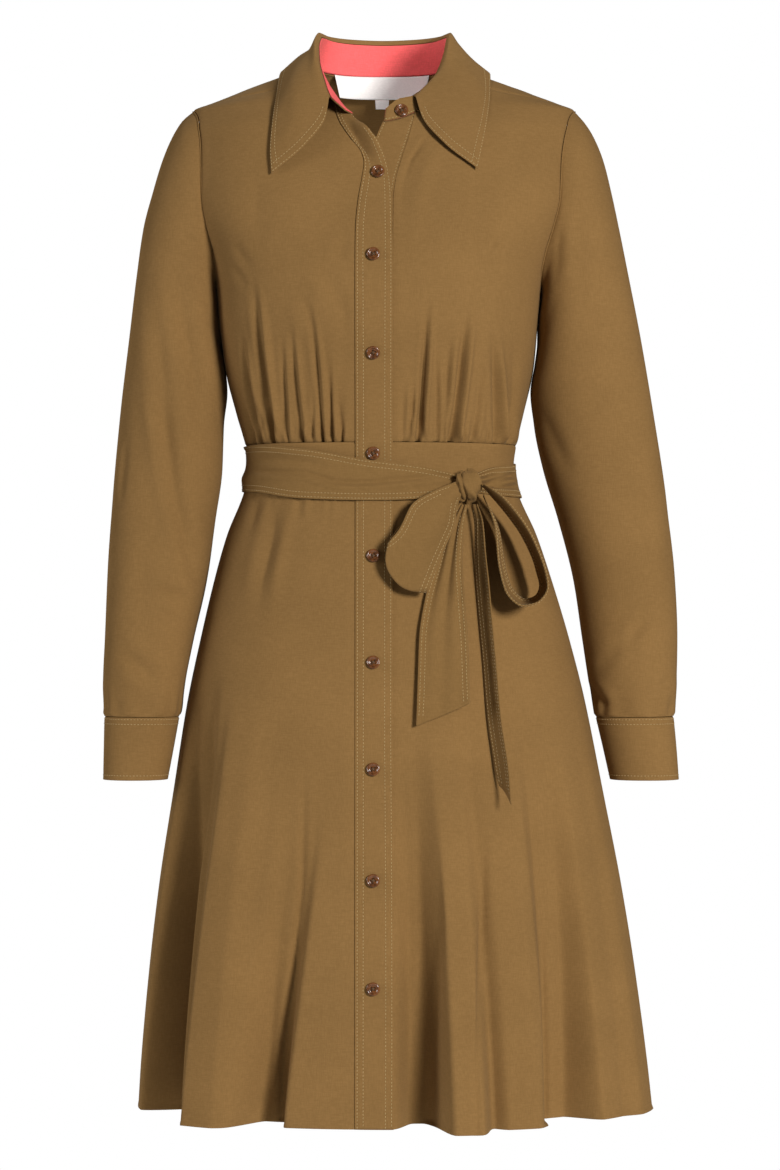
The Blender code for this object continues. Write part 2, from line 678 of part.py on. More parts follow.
def lower_panels(names, heights, front_count, back_count, khaki):
    """Right front, left front and back of the waistband or of the skirt."""
    def right_front(z):
        return spread(-math.pi, angle_at_x(PLACKET_EDGE_RIGHT + PLACKET_LAP, z), front_count)

    def left_front(z):
        return spread(angle_at_x(PLACKET_EDGE_LEFT + BESIDE_PLACKET, z), 0.0, front_count)

    def back(z):
        return spread(0.0, math.pi, back_count)

    top_bottom = ("top", "bottom")
    level_panel(names[0], right_front, heights, khaki, top_bottom + ("left",))
    level_panel(names[1], left_front, heights, khaki, top_bottom + ("right",))
    level_panel(names[2], back, heights, khaki, top_bottom + ("left", "right"))


def make_plackets(khaki):
    """The two button bands, from the neck seam to the hem."""
    runs = run_of(side_edge(1, True))
    below = list(WAISTBAND_ROWS[1:]) + list(SKIRT_ROWS) + [HEM_Z]

    def band(name, side, left_edge, right_edge, out):
        left = edge_places(left_edge, WAIST_Z, runs)
        right = edge_places(right_edge, WAIST_Z, runs)
        for z in below:
            left += edge_places(left_edge, z, (1.0,))
            right += edge_places(right_edge, z, (1.0,))
        rows = []
        for (a, za), (b, zb) in zip(left, right):
            rows.append([(a + (b - a) * s, za + (zb - za) * s) for s in spread(0.0, 1.0, PLACKET_COLUMNS)])
        for j in range(1, PLACKET_COLUMNS):
            rows[0][j] = neck_place(ring_angle_on_neck(rows[0][j][0], side))
        rows = draw_in(skin_rows(rows, out), SEAM, ("top", "bottom"))
        cloth(name, rows, khaki, BAND_WALL if out else WALL)

    band("placket_over", -1, OVER_OUTER_EDGE, OVER_FREE_EDGE, PLACKET_LIFT + BAND_WALL)
    band("placket_under", 1, UNDER_FREE_EDGE, UNDER_SEWN_EDGE, 0.0)


# ---------------------------------------------------------------- sleeves and cuffs
def sleeve_ring(row, side, turns, out=0.0):
    """Points round a sleeve: outside, front, inside, back."""
    outer_x, outer_z, inner_x, inner_z, centre_y, half_depth = row
    centre = Vector((0.5 * (outer_x + inner_x), centre_y, 0.5 * (outer_z + inner_z)))
    reach = Vector((outer_x, centre_y, outer_z)) - centre
    points = []
    for turn in turns:
        step = reach * (1.0 + out / reach.length) * signed_power(math.cos(turn), SLEEVE_ROUNDNESS)
        depth = (half_depth + out) * signed_power(math.sin(turn), SLEEVE_ROUNDNESS)
        point = centre + step - Vector((0.0, depth, 0.0))
        points.append(Vector((point.x * side, point.y, point.z)))
    return points


def make_sleeve(side, khaki):
    front = [skin(*place) for place in armhole(side, True)]
    back = [skin(*place) for place in armhole(side, False)]
    ring = front + back[-2:0:-1]
    turns = [math.pi * k / ARM_STEPS for k in range(2 * ARM_STEPS)]
    table = SLEEVE_LEFT if side > 0 else SLEEVE_RIGHT
    rows = [ring] + [sleeve_ring(row, side, turns) for row in table]
    rows = draw_in(rows, 2.0 * SEAM, ("top",))
    rows = draw_in(rows, SEAM, ("bottom",))
    name = "sleeve_left" if side > 0 else "sleeve_right"
    cloth(name, rows, khaki, closed=True, flip=side > 0)


def make_cuff(side, khaki):
    """A band that laps over itself at the back of the wrist."""
    table = CUFF_LEFT if side > 0 else CUFF_RIGHT
    start = 1.5 * math.pi - math.radians(CUFF_LAP) * 0.5
    rows = []
    for row in table:
        points = []
        for k in range(CUFF_COLUMNS + 1):
            turned = k / CUFF_COLUMNS * (2.0 * math.pi + math.radians(CUFF_LAP))
            under = ease(1.0 - turned / math.radians(2.0 * CUFF_LAP))
            out = -(BAND_WALL + SEAM) * under
            points.append(sleeve_ring(row, side, (start + turned,), out)[0])
        rows.append(points)
    name = "cuff_left" if side > 0 else "cuff_right"
    cloth(name, rows, khaki, BAND_WALL, flip=side > 0)


# ---------------------------------------------------------------- collar
def square_to(direction, along):
    """The part of a direction that is square to another, at unit length."""
    along = along.normalized()
    return (direction - along * direction.dot(along)).normalized()


def stand_top(theta):
    return follow_point(column(STAND, 0), [row[1:4] for row in STAND], theta)


def stand_rows():
    """Rows of the collar stand, from its top edge down to the neck seam."""
    lower, upper = [], []
    for theta in halved(column(STAND, 0)):
        on_placket = ease((theta - STAND_ON_PLACKET[0]) / (STAND_ON_PLACKET[1] - STAND_ON_PLACKET[0]))
        foot = neck_point(theta, (PLACKET_LIFT + BAND_WALL) * on_placket)
        head = stand_top(theta)
        along = neck_point(theta + 1.0) - neck_point(theta - 1.0)
        lower.append(foot + square_to(head - foot, along) * STAND_GAP)
        upper.append(head)
    return [upper, lower]


def shifted(rows, distance):
    """A grid moved along its normals, which are down its rows times along them."""
    moved = []
    for i, row in enumerate(rows):
        moved.append([])
        for j, point in enumerate(row):
            down = rows[min(i + 1, len(rows) - 1)][j] - rows[max(i - 1, 0)][j]
            along = row[min(j + 1, len(row) - 1)] - row[max(j - 1, 0)]
            moved[-1].append(point + down.cross(along).normalized() * distance)
    return moved


def make_stand(khaki, coral):
    rows = stand_rows()
    cloth("collar_stand", rows, khaki, WALL, flip=True, offset=1.0)
    facing = draw_in(shifted(rows, SEAM), 3.0 * SEAM, ("bottom",))
    cloth("stand_facing", facing, coral, FACING_WALL, offset=1.0)


def make_collar(khaki):
    angles = column(FALL, 0)
    rows = [[] for _ in FALL_RUNS]
    for theta in halved(angles):
        root = stand_top(theta)
        along = stand_top(theta + 1.0) - stand_top(theta - 1.0)
        root = root + square_to(root - neck_point(theta), along) * COLLAR_ROOT_GAP
        marks = [root] + [follow_point(angles, column(FALL, i), theta) for i in range(1, 5)]
        for k, run in enumerate(FALL_RUNS):
            rows[k].append(follow_point((0.0, 1.0, 2.0, 3.0, 4.0), marks, run))
    cloth("collar", rows, khaki, BAND_WALL, flip=True)


def make_labels(white):
    """Bare label and bare size tab inside the back of the neck."""
    def hang(x, z):
        point = skin(-angle_at_x(x, LABEL_TOP_Z), LABEL_TOP_Z, -LABEL_INSET)
        return point + Vector((0.0, 0.0, z - LABEL_TOP_Z))

    columns = spread(LABEL_CENTRE_X - LABEL_HALF_WIDTH, LABEL_CENTRE_X + LABEL_HALF_WIDTH, 8)
    rows = [[hang(x, z) for x in columns] for z in (LABEL_TOP_Z, LABEL_BOTTOM_Z)]
    cloth("neck_label", rows, white, FACING_WALL, flip=True)
    columns = spread(LABEL_CENTRE_X - TAB_HALF_WIDTH, LABEL_CENTRE_X + TAB_HALF_WIDTH, 2)
    rows = [[hang(x, z) for x in columns] for z in (LABEL_BOTTOM_Z - SEAM, TAB_BOTTOM_Z)]
    cloth("size_tab", rows, white, FACING_WALL, flip=True)


# ---------------------------------------------------------------- belt
def make_belt(khaki):
    angles = column(BELT, 0)
    rows = [[], [], []]
    for degrees in spread(angles[0], angles[-1], BELT_COLUMNS):
        top = follow(angles, column(BELT, 1), degrees)
        bottom = follow(angles, column(BELT, 2), degrees)
        for row, z in zip(rows, (top, 0.5 * (top + bottom), bottom)):
            row.append(skin(math.radians(degrees), z, BELT_STAND_OFF))
    cloth("belt_wrap", rows, khaki, BAND_WALL, flip=True)
    for name, stations in BOW.items():
        runs = list(range(len(stations)))
        centres = [station[0] for station in stations]
        halves = [station[1] for station in stations]
        rows = []
        for run in spread(0.0, runs[-1], 2 * runs[-1]):
            centre = follow_point(runs, centres, run)
            half = follow_point(runs, halves, run)
            rows.append([centre + half * s for s in (-1.0, 0.0, 1.0)])
        cloth(name, rows, khaki, BAND_WALL, offset=0.0)
    bpy.ops.mesh.primitive_uv_sphere_add(segments=12, ring_count=8, radius=1.0)
    knot = bpy.context.object
    knot.name = "belt_knot"
    knot.data.transform(Matrix.Diagonal((*[r * MM for r in KNOT_RADII], 1.0)))
    knot.location = Vector(KNOT_CENTRE) * MM
    adopt(knot, khaki)


def adopt(obj, material):
    """Give an object its material and move it to the dress's collection."""
    obj.data.materials.clear()
    obj.data.materials.append(material)
    for other in list(obj.users_collection):
        other.objects.unlink(obj)
    parts.objects.link(obj)
    obj.data.shade_smooth()
    obj.data.set_sharp_from_angle(angle=math.radians(SHARP_ANGLE))


# ---------------------------------------------------------------- buttons
def button_mesh(material):
    """A turned four-hole button with a raised rim, lying in the XY plane."""
    radius, thick = BUTTON_RADIUS * MM, BUTTON_THICK * MM
    profile = (
        (0.0, 0.55 * thick), (0.60 * radius, 0.55 * thick), (0.80 * radius, thick),
        (radius, 0.55 * thick), (0.72 * radius, 0.0), (0.0, 0.0),
    )
    mesh = bpy.data.meshes.new("button_blank")
    mesh.from_pydata([(x, 0.0, z) for x, z in profile], [(i, i + 1) for i in range(len(profile) - 1)], [])
    blank = bpy.data.objects.new("button_blank", mesh)
    parts.objects.link(blank)
    screw = blank.modifiers.new("Turn", "SCREW")
    screw.steps = 12
    screw.render_steps = 12
    screw.use_merge_vertices = True
    screw.merge_threshold = 0.00001
    for k in range(4):
        turn = math.pi * (0.25 + 0.5 * k)
        bpy.ops.mesh.primitive_cylinder_add(
            vertices=4, radius=BUTTON_HOLE * MM, depth=4.0 * thick,
            location=(BUTTON_HOLE_SPREAD * MM * math.cos(turn), BUTTON_HOLE_SPREAD * MM * math.sin(turn), 0.0))
        cutter = bpy.context.object
        cutter.name = f"hole_cutter_{k}"
        cutter.hide_render = True
        cutter.display_type = "WIRE"
        cut = blank.modifiers.new("Hole", "BOOLEAN")
        cut.operation = "DIFFERENCE"
        cut.object = cutter
    bpy.context.view_layer.update()
    finished = bpy.data.meshes.new_from_object(blank.evaluated_get(bpy.context.evaluated_depsgraph_get()))
    for k in range(4):
        bpy.data.objects.remove(bpy.data.objects[f"hole_cutter_{k}"])
    bpy.data.objects.remove(blank)
    finished.materials.clear()
    finished.materials.append(material)
    return finished


def place_button(name, mesh, point, normal):
    obj = bpy.data.objects.new(name, mesh)
    parts.objects.link(obj)
    obj.rotation_mode = "QUATERNION"
    obj.rotation_quaternion = normal.to_track_quat("Z", "Y")
    obj.location = point * MM


def skin_normal(angle, z):
    return (skin(angle, z, 1.0) - skin(angle, z)).normalized()


def make_buttons(tortoise):
    mesh = button_mesh(tortoise)
    on_placket = PLACKET_LIFT + BAND_WALL + 2.0 * SEAM
    for number, z in enumerate(BUTTON_HEIGHTS, start=2):
        x = TOP_BUTTON_X if number == 2 else BUTTON_LINE_X
        angle = angle_at_x(x, z)
        place_button(f"button_{number}", mesh, skin(angle, z, on_placket), skin_normal(angle, z))
    foot = neck_point(STAND_BUTTON_ANGLE)
    head = stand_top(STAND_BUTTON_ANGLE)
    beside = neck_point(STAND_BUTTON_ANGLE + 2.0) - neck_point(STAND_BUTTON_ANGLE - 2.0)
    normal = beside.cross(head - foot).normalized()
    point = foot.lerp(head, STAND_BUTTON_RISE) + normal * (WALL + 2.0 * SEAM)
    place_button("button_1", mesh, point, normal)
    for side, name in ((1, "cuff_button_left"), (-1, "cuff_button_right")):
        table = CUFF_LEFT if side > 0 else CUFF_RIGHT
        middle = table[1]
        turn = 1.5 * math.pi
        point = sleeve_ring(middle, side, (turn,), 2.0 * SEAM)[0]
        place_button(name, mesh, point, Vector((0.0, 1.0, 0.0)))


# ---------------------------------------------------------------- the whole dress
def main():
    global parts
    for obj in list(bpy.data.objects):
        bpy.data.objects.remove(obj)
    parts = bpy.data.collections.new("shirt_dress")
    bpy.context.scene.collection.children.link(parts)
    khaki = make_material("khaki_crepe", KHAKI, 0.55)
    coral = make_material("coral_facing", CORAL, 0.7)
    white = make_material("white_label", WHITE, 0.6)
    tortoise = make_material("tortoise_plastic", TORTOISE, 0.25)
    make_front(-1, khaki)
    make_front(1, khaki)
    make_back(khaki)
    lower_panels(("waistband_right", "waistband_left", "waistband_back"),
                 WAISTBAND_ROWS, BAND_FRONT_COLUMNS, BAND_BACK_COLUMNS, khaki)
    lower_panels(("skirt_front_right", "skirt_front_left", "skirt_back"),
                 (BAND_BOTTOM_Z,) + SKIRT_ROWS + (HEM_Z,), SKIRT_FRONT_COLUMNS, SKIRT_BACK_COLUMNS, khaki)
    make_plackets(khaki)
    for side in (-1, 1):
        make_sleeve(side, khaki)
        make_cuff(side, khaki)
    make_stand(khaki, coral)
    make_collar(khaki)
    make_labels(white)
    make_belt(khaki)
    make_buttons(tortoise)


main()
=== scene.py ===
"""Looks of the shirt dress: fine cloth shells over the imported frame, stitches, buttons, light and camera.

Lengths in the tables are in millimetres, in the frame's own axes: +Z up, the front faces -Y and the
wearer's left is +X. Right and left in names are the wearer's; a side is -1 for right and 1 for left.
Edges of a grid of points are its top (first row), bottom, left (first column) and right.
"""

import math

import bpy
import numpy as np
from mathutils import Matrix, Vector


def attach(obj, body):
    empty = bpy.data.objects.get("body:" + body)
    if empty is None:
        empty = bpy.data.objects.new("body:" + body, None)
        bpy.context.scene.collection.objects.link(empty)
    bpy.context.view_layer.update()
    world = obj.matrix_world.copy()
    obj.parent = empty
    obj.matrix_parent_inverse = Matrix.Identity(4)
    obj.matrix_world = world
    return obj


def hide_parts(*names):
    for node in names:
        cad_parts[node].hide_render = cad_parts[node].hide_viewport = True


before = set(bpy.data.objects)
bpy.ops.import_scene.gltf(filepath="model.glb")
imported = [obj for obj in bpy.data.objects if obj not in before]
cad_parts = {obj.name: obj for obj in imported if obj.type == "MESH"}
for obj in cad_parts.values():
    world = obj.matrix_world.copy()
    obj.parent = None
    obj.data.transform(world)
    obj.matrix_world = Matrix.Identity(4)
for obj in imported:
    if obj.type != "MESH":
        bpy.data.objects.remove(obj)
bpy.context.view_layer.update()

MM = 0.001
TURN = 2.0 * math.pi

# ---------------------------------------------------------------- driving sizes (mm)
CLOTH = 0.9             # thickness of a single panel's shell
BAND = 1.0              # thickness of doubled cloth: placket, collar, cuffs and belt
FACING = 0.7
TAPE = 0.45
KNOT_WALL = 0.6
SEAM = 0.3              # gap between two pieces that are sewn together
SEAM_ROLL = (0.8, 1.4)  # depth and width of a bodice panel's roll down into a seam
SIDE_FADE = 14.0        # distance from a side seam over which the folds grow,
TOP_FADE = 18.0         # from the neck and shoulder seams,
BAND_FADE = 12.0        # and from the placket
BODICE_ROWS = 118
FRONT_COLUMNS = 116
BACK_COLUMNS = 112
EDGE_BEND = 4           # the higher, the sooner a panel runs straight away from its bent edges

NECK_HALF_WIDTH = 64.0
NECK_SIDE_Z = -5.0
NECK_FRONT_DROP = 64.0
NECK_TURN = -9.0        # x of the lowest point of the neck seam
SHOULDER_SEAM_Z = -18.0

ARM_TOP_Z = -48.0
ARM_BOTTOM_Z = -220.0
ARM_FRONT_REACH = 55.0
ARM_BACK_REACH = 63.0
ARM_ROUNDNESS = 0.85

WAIST_Z = -365.0
BAND_BOTTOM_Z = -405.0
HEM_Z = -990.0
HEM_DEPTH = 3.2         # depth of the narrow rolled hem
HEM_RISE = 0.35         # how far it stands out
STEEPNESS = 1.6         # above 1 a flare has a flat crest and steeper sides

PLACKET_EDGE_RIGHT = -26.0
PLACKET_EDGE_LEFT = 7.5
PLACKET_LAP = 2.0       # how far the right front runs on under the top placket
PLACKET_OUT = 1.7       # outer face of the top placket, off the body surface
PLACKET_ROLL = 15.0     # how far its free edge rolls out near the neck
BESIDE_PLACKET = 0.3    # from the placket's edge to the left waistband and left skirt front
STAND_GAP = 0.1         # from the neck seam to the stand's foot
STAND_ON_PLACKET = (216.0, 224.0)  # ring angles between which the stand steps up onto the placket
COLLAR_ROOT_GAP = 0.9   # from the stand's top edge to the fall's root
FACING_DROP = 6.0       # how far the coral facing shows below the stand at the wearer's right
SLEEVE_COLUMNS = 96
SLEEVE_SQUARENESS = 0.92  # power of the rings: 1 is an ellipse, lower is squarer
PLEAT_DEPTH = 0.9       # of the pleats above the cuff
PLEAT_REACH = 42.0
CUFF_LAP = 22.0         # degrees by which a cuff laps over itself
BELT_STAND_OFF = 4.7    # the belt's outer face off the body, over the buttons
BELT_SIDE_OFF = 2.2     # and away from them
START_FAN = 1.4         # depth of the folds that fan out under the knot at the belt's start
END_FAN = 3.6           # and at its end
RIBBON_CUP = 2.4        # how far the middle of a 40 mm ribbon sinks

BUTTON_RADIUS = 6.2
BUTTON_THICK = 2.8
BUTTON_HOLE = 0.75
BUTTON_HOLE_SPREAD = 1.9
BUTTON_BAR_RADIUS = 0.4

# Topstitching: distances from the edge, and for ribbons also the share of the edge where a row starts.
STITCH_LENGTH = 1.9
STITCH_PITCH = 3.2
STITCH_START = 0.6
STITCH_RADIUS = 0.32
STITCH_LIFTS = (-0.16, 0.18, -0.16)  # of a stitch's start, middle and end, off the cloth
PLACKET_STITCHES = (2.0, 7.5)
UNDER_STITCH = 2.2
STAND_STITCH = 2.0
COLLAR_STITCHES = (1.6, 8.0)
CUFF_STITCHES = (("top", 2.0, 0.0, 1.0), ("top", 6.5, 0.0, 1.0), ("bottom", 4.5, 0.0, 1.0))
BELT_STITCHES = (1.8, 6.0)
RIBBON_STITCHES = ((2.2, 0.04), (6.2, 0.10))
# Depth and width of the grooves under the stitches.
PLACKET_GROOVE = (0.18, 1.0)
UNDER_GROOVE = (0.2, 1.0)
CUFF_GROOVE = (0.18, 0.9)
COLLAR_GROOVE = (0.22, 0.9)

# Seeds of the slow waves in the cloth, by side where there are two.
FRONT_SEEDS = {-1: 11, 1: 12}
SLEEVE_SEEDS = {-1: 42, 1: 41}
BACK_SEED = 21
PLACKET_SEED = 31
CUFF_SEED = 51
LOWER_PANELS = (
    # panel, columns and seed of its waistband, columns and seed of its skirt
    ("front_right", 90, 61, 140, 71),
    ("front_left", 100, 62, 146, 72),
    ("back", 130, 63, 120, 73),
)

# ---------------------------------------------------------------- tables (mm)
# Level sections of the body and skirt.
BODY = (
    # z, half_width, front, back, centre_x, power
    (-5, 66, 34, 66, 0, 2), (-12, 90, 40, 71, 0, 2),
    (-19, 110, 46, 77, 0, 2), (-26, 128, 53, 82, 0, 2),
    (-34, 147, 60, 86, 0, 2.05), (-41, 165, 66, 89, 0, 2.1),
    (-48, 181.5, 72, 92, 0, 2.15), (-60, 183, 82, 95.5, -0.5, 2.3),
    (-69, 183.5, 88, 98, -1, 2.4), (-105, 184, 100, 105, -2.5, 2.5),
    (-134, 182, 109, 108.5, -3, 2.5), (-160, 174, 116, 109.5, -4, 2.45),
    (-187, 162, 121.5, 108.5, -4.5, 2.4), (-205, 156.5, 124, 107, -5, 2.35),
    (-220, 154, 125, 105.5, -5, 2.3), (-245, 151.5, 124, 102.5, -5, 2.3),
    (-293, 146, 114.5, 96.5, -4, 2.25), (-335, 136, 103, 91, -3.5, 2.2),
    (-365, 128.5, 97, 88, -3, 2.2), (-385, 126, 94.5, 88, -3, 2.2),
    (-405, 129, 96, 91, -3, 2.2), (-450, 147, 106, 112, -2, 2.2),
    (-492, 160, 113, 126, -1, 2.2), (-549, 175, 121, 138, 0.5, 2.2),
    (-606, 188, 128, 147, 1.5, 2.2), (-692, 203, 137, 157, 3, 2.2),
    (-777, 217, 144, 165, 4, 2.2), (-863, 228, 149, 171, 5, 2.2),
    (-948, 236.5, 152, 176, 6, 2.2), (-990, 239.5, 153, 178, 6.5, 2.2),
)

# Flares of the skirt. Angles run from the wearer's left side (0) through the back (90).
FLARES = (
    # angle at the hem, reach at the hem, width towards smaller angle, towards larger, top z, lean to the top
    (-153, -84, 15, 11, -580, 0),
    (-134, 24, 6, 15, -600, 0),
    (-115.5, -32, 10, 4, -700, 8),
    (-83.5, -34, 6.5, 5, -640, 0),
    (-76.5, 38, 7.5, 7.5, -600, 0),
    (-63, 14, 8, 9, -640, 0),
    (-48, -36, 8, 12, -600, 0),
    (-14, 10, 14, 14, -560, 0),
    (20, -28, 14, 12, -600, 0),
    (41, 20, 12, 11, -560, 4),
    (59, -30, 11, 12, -640, 4),
    (77, 24, 11, 10, -580, 0),
    (93, -24, 10, 11, -620, 0),
    (110, 26, 11, 12, -600, -4),
    (128, -30, 12, 10, -560, -4),
    (146, 18, 11, 12, -620, 0),
    (164, -24, 12, 12, -600, 0),
)

# Forward shoulder seam between the neck and the armhole, measured from the centre line.
SHOULDER_SEAM = (
    # x, z
    (84, -27), (112, -34), (147, -39),
)

# Edges of the top placket (wearer's right front) and of the under placket.
OVER_OUTER_EDGE = (
    # x, z of its sewn edge
    (-49, -41.5), (-42, -66), (-31, -84), (-21, -97), (-18, -108),
    (-20, -124), (-23.5, -145), (-25.6, -170), (-26, -200), (-26, -990),
)
OVER_FREE_EDGE = (
    (-30.5, -62.5), (-14, -82), (-2, -99), (4.5, -117), (7.2, -138),
    (8.3, -200), (8.3, -990),
)
UNDER_FREE_EDGE = (
    (-1, -68.6), (-9, -88), (-16, -106), (-21, -125), (-23.2, -145),
    (-23.4, -200), (-23.4, -990),
)
UNDER_SEWN_EDGE = (
    (29, -57), (23.5, -80), (17, -101), (11, -122), (8.4, -142),
    (7.8, -200), (7.8, -990),
)

# Collar stand, from the tip on the wearer's right round the back to the left tip.
STAND = (
    # ring angle, x, y, z of its top edge
    (250, -35, -93, -59), (246, -42, -93, -53), (240, -49, -88, -46),
    (229, -55, -76, -29), (214, -60, -58, -8), (198, -61, -34, 10),
    (180, -58.5, -5, 22), (150, -52, 30, 25), (120, -31, 52.5, 25),
    (90, 0, 60.5, 25), (60, 31, 52.5, 25), (30, 53, 30, 25),
    (0, 59.5, -5, 22), (-20, 57, -28, 5), (-40, 50, -48, -17),
    (-56, 38, -66, -34), (-67, 27, -76, -43), (-76, 13, -82, -47),
    (-82, 2, -86.5, -56),
)

# Fall of the collar, at the same ring angles: from the stand over the roll to the outer edge.
FALL = (
    # ring angle, crest x y z, upper x y z, middle x y z, edge x y z
    (240, (-50.5, -93, -48), (-54, -101, -67), (-73, -105, -93), (-104, -99, -118)),
    (229, (-58, -81, -26), (-65, -90, -42), (-84, -96, -67), (-105.5, -93, -96)),
    (214, (-63.5, -63, -3), (-70, -71, -17), (-87, -80, -40), (-103.5, -82, -66)),
    (198, (-64.5, -37, 15.5), (-70.5, -43, 4), (-85, -51, -14), (-101, -57, -40)),
    (180, (-61.5, -6, 27), (-65.5, -8, 15), (-80, -9, 4), (-98, -9, -11.5)),
    (150, (-56, 32, 30.5), (-61, 36, 22), (-73, 43, 5), (-87, 50, -13)),
    (120, (-33, 56, 30.5), (-36.5, 62, 23), (-42, 69, 3), (-48, 75, -19)),
    (90, (0, 64.5, 30.5), (0, 70.5, 23), (0, 76.5, 3), (0, 82, -20)),
    (60, (33, 56, 30.5), (36.5, 62, 23), (42, 69, 3), (48, 75, -19)),
    (30, (57, 32, 30.5), (62, 36, 22), (74, 43, 5), (88, 50, -13)),
    (0, (63, -6, 27), (71, -8, 16), (84, -9, 1.5), (101, -9, -12.5)),
    (-20, (60.5, -31, 10), (68, -38, -1), (84, -47, -18), (99.5, -56, -40)),
    (-40, (53.5, -53, -13), (61, -65, -24), (78, -76, -46), (95.5, -83, -70)),
    (-56, (41, -72, -31), (47, -84, -46), (66, -94, -70), (91, -94, -94)),
    (-67, (29, -82, -44), (36, -93, -66), (57, -102, -91), (87, -101, -113.5)),
)

# Sleeves, from below the shoulder to the cuff seam, and cuffs; x is measured outwards from the middle.
SLEEVES = (
    # outer_z, inner_z, centre_y, half_depth, right outer_x and inner_x, left outer_x and inner_x
    (-55, -228, 4, 60, 190, 157.5, 188, 148.5),
    (-69, -236, 4, 60, 200, 156.5, 198, 147.5),
    (-93, -250, 4, 59, 211, 155, 208.5, 146),
    (-122, -267, 4, 58, 220, 154.8, 216, 145.8),
    (-158, -288, 3, 56, 229, 151.8, 223.5, 143.4),
    (-205, -314, 2, 54, 235, 149.5, 232.5, 139.6),
    (-262, -345, 0, 53, 241, 152.5, 243, 143),
    (-330, -386, -2, 52, 249, 153.5, 254, 151),
    (-410, -437, -5, 51, 257, 160, 266, 165.5),
    (-480, -494, -9, 50, 262.5, 168, 274, 179),
    (-545, -550, -14, 46, 265, 181, 277, 187),
    (-590, -593, -18, 41, 266.5, 189.5, 276, 193.5),
    (-620.5, -621, -20, 35.5, 264.5, 193, 274, 199.5),
)
CUFFS = (
    (-620.8, -621.3, -20, 35, 264, 193.5, 273.5, 200),
    (-650, -650, -21.5, 32, 264.5, 198.5, 276, 206.5),
    (-680, -680, -23, 30.5, 265, 204, 278, 213),
)

# Top and bottom edge of the belt, from the knot round the wearer's right, the back and the left.
BELT = (
    # angle, top z, bottom z
    (-59, -395.5, -415), (-72, -389, -418), (-92, -382, -420), (-120, -370.5, -418),
    (-150, -366, -411), (-180, -366, -409), (-231, -370, -414), (-300, -374, -417),
    (-360, -382, -415), (-375, -384, -415), (-396, -387, -414), (-413, -396.5, -411),
)

KNOT_CENTRE = (77, -95.5, -405.5)
KNOT_RADII = (12.25, 9.8, 14.7)

# Ribbons of the bow: centre line, and half of the width.
BOW = {
    "belt_loop_right": (
        ((68.6, -103.3, -408), (2.5, 0, -6)), ((56, -113, -419), (11, -1, -8)),
        ((44, -120, -436), (19, -2.5, -12)), ((34.5, -127, -456), (18.5, -2.5, -13.5)),
        ((24, -131.5, -477), (17, -1.5, -22)), ((21.5, -125.5, -481), (17, 0, -23)),
        ((31, -118, -461), (18, 0, -16)), ((44, -111, -440), (15, 0, -11)),
        ((57, -105.5, -421), (9, 0, -8)), ((64.5, -100.5, -411), (2, 0, -5)),
    ),
    "belt_loop_left": (
        ((91.5, -98, -405), (0.5, -6, 1)), ((108, -101, -420), (3, -13, 2)),
        ((131, -104, -451), (4, -18, 0)), ((144, -106, -482), (4, -20, -2)),
        ((147, -107, -498), (3, -20, -2)), ((140, -108, -510), (0, -20, -3)),
        ((129, -108.5, -513), (-2, -20, -3)), ((116, -108, -503), (-3, -20, -2)),
        ((109, -106, -480), (-3, -18, 0)), ((105, -102, -446), (-2, -13, 1)),
        ((92.5, -97.5, -414), (0, -6, 1)),
    ),
    "belt_tail_right": (
        ((73, -96.5, -423), (4, 0, 0)), ((66, -100, -442), (8, 0, 0)),
        ((60, -109.5, -475), (12, -0.5, 0)), ((56, -118, -510), (18, -1, 0)),
        ((54.5, -124, -545), (22, 0, 0)), ((54.5, -130, -585), (23.5, 0, 0)),
        ((54, -136, -615), (24.5, 0, 10.5)),
    ),
    "belt_tail_left": (
        ((83, -97, -422.6), (3, -3, 0)), ((87, -104, -440), (4, -6, 0)),
        ((88.5, -108, -467), (5, -8, 0)), ((91, -112, -500), (6, -9, 0)),
        ((94, -117, -535), (6, -9, 0)), ((97, -121, -569), (6, -9, 0)),
        ((100.5, -127, -614), (6, -9, 0)), ((107, -133, -660), (6, -9, 0)),
        ((110.5, -137, -688), (5, -9, -8)),
    ),
}

# Buttons 2 to 10, by the height of their centres, and button 1 on the stand, by its ring angle and share up.
BUTTON_HEIGHTS = (-118, -195, -283.5, -375, -470.5, -568, -665, -765.5, -863)
BUTTON_LINE_X = -9.6
TOP_BUTTON_X = -5.5
STAND_BUTTON_ANGLE = -70.5
STAND_BUTTON_RISE = 0.32

# White neck label and the small tab below it.
LABEL_HALF_WIDTH = 46.5
LABEL_TOP_Z = -3.2
LABEL_BOTTOM_Z = -25.2
TAB_HALF_WIDTH = 7.0
TAB_BOTTOM_Z = -34.5
LABEL_CENTRE_X = -2.0
LABEL_INSET = 2.6
LABEL_TAPER = 5.0
TAB_TAPER = 0.5

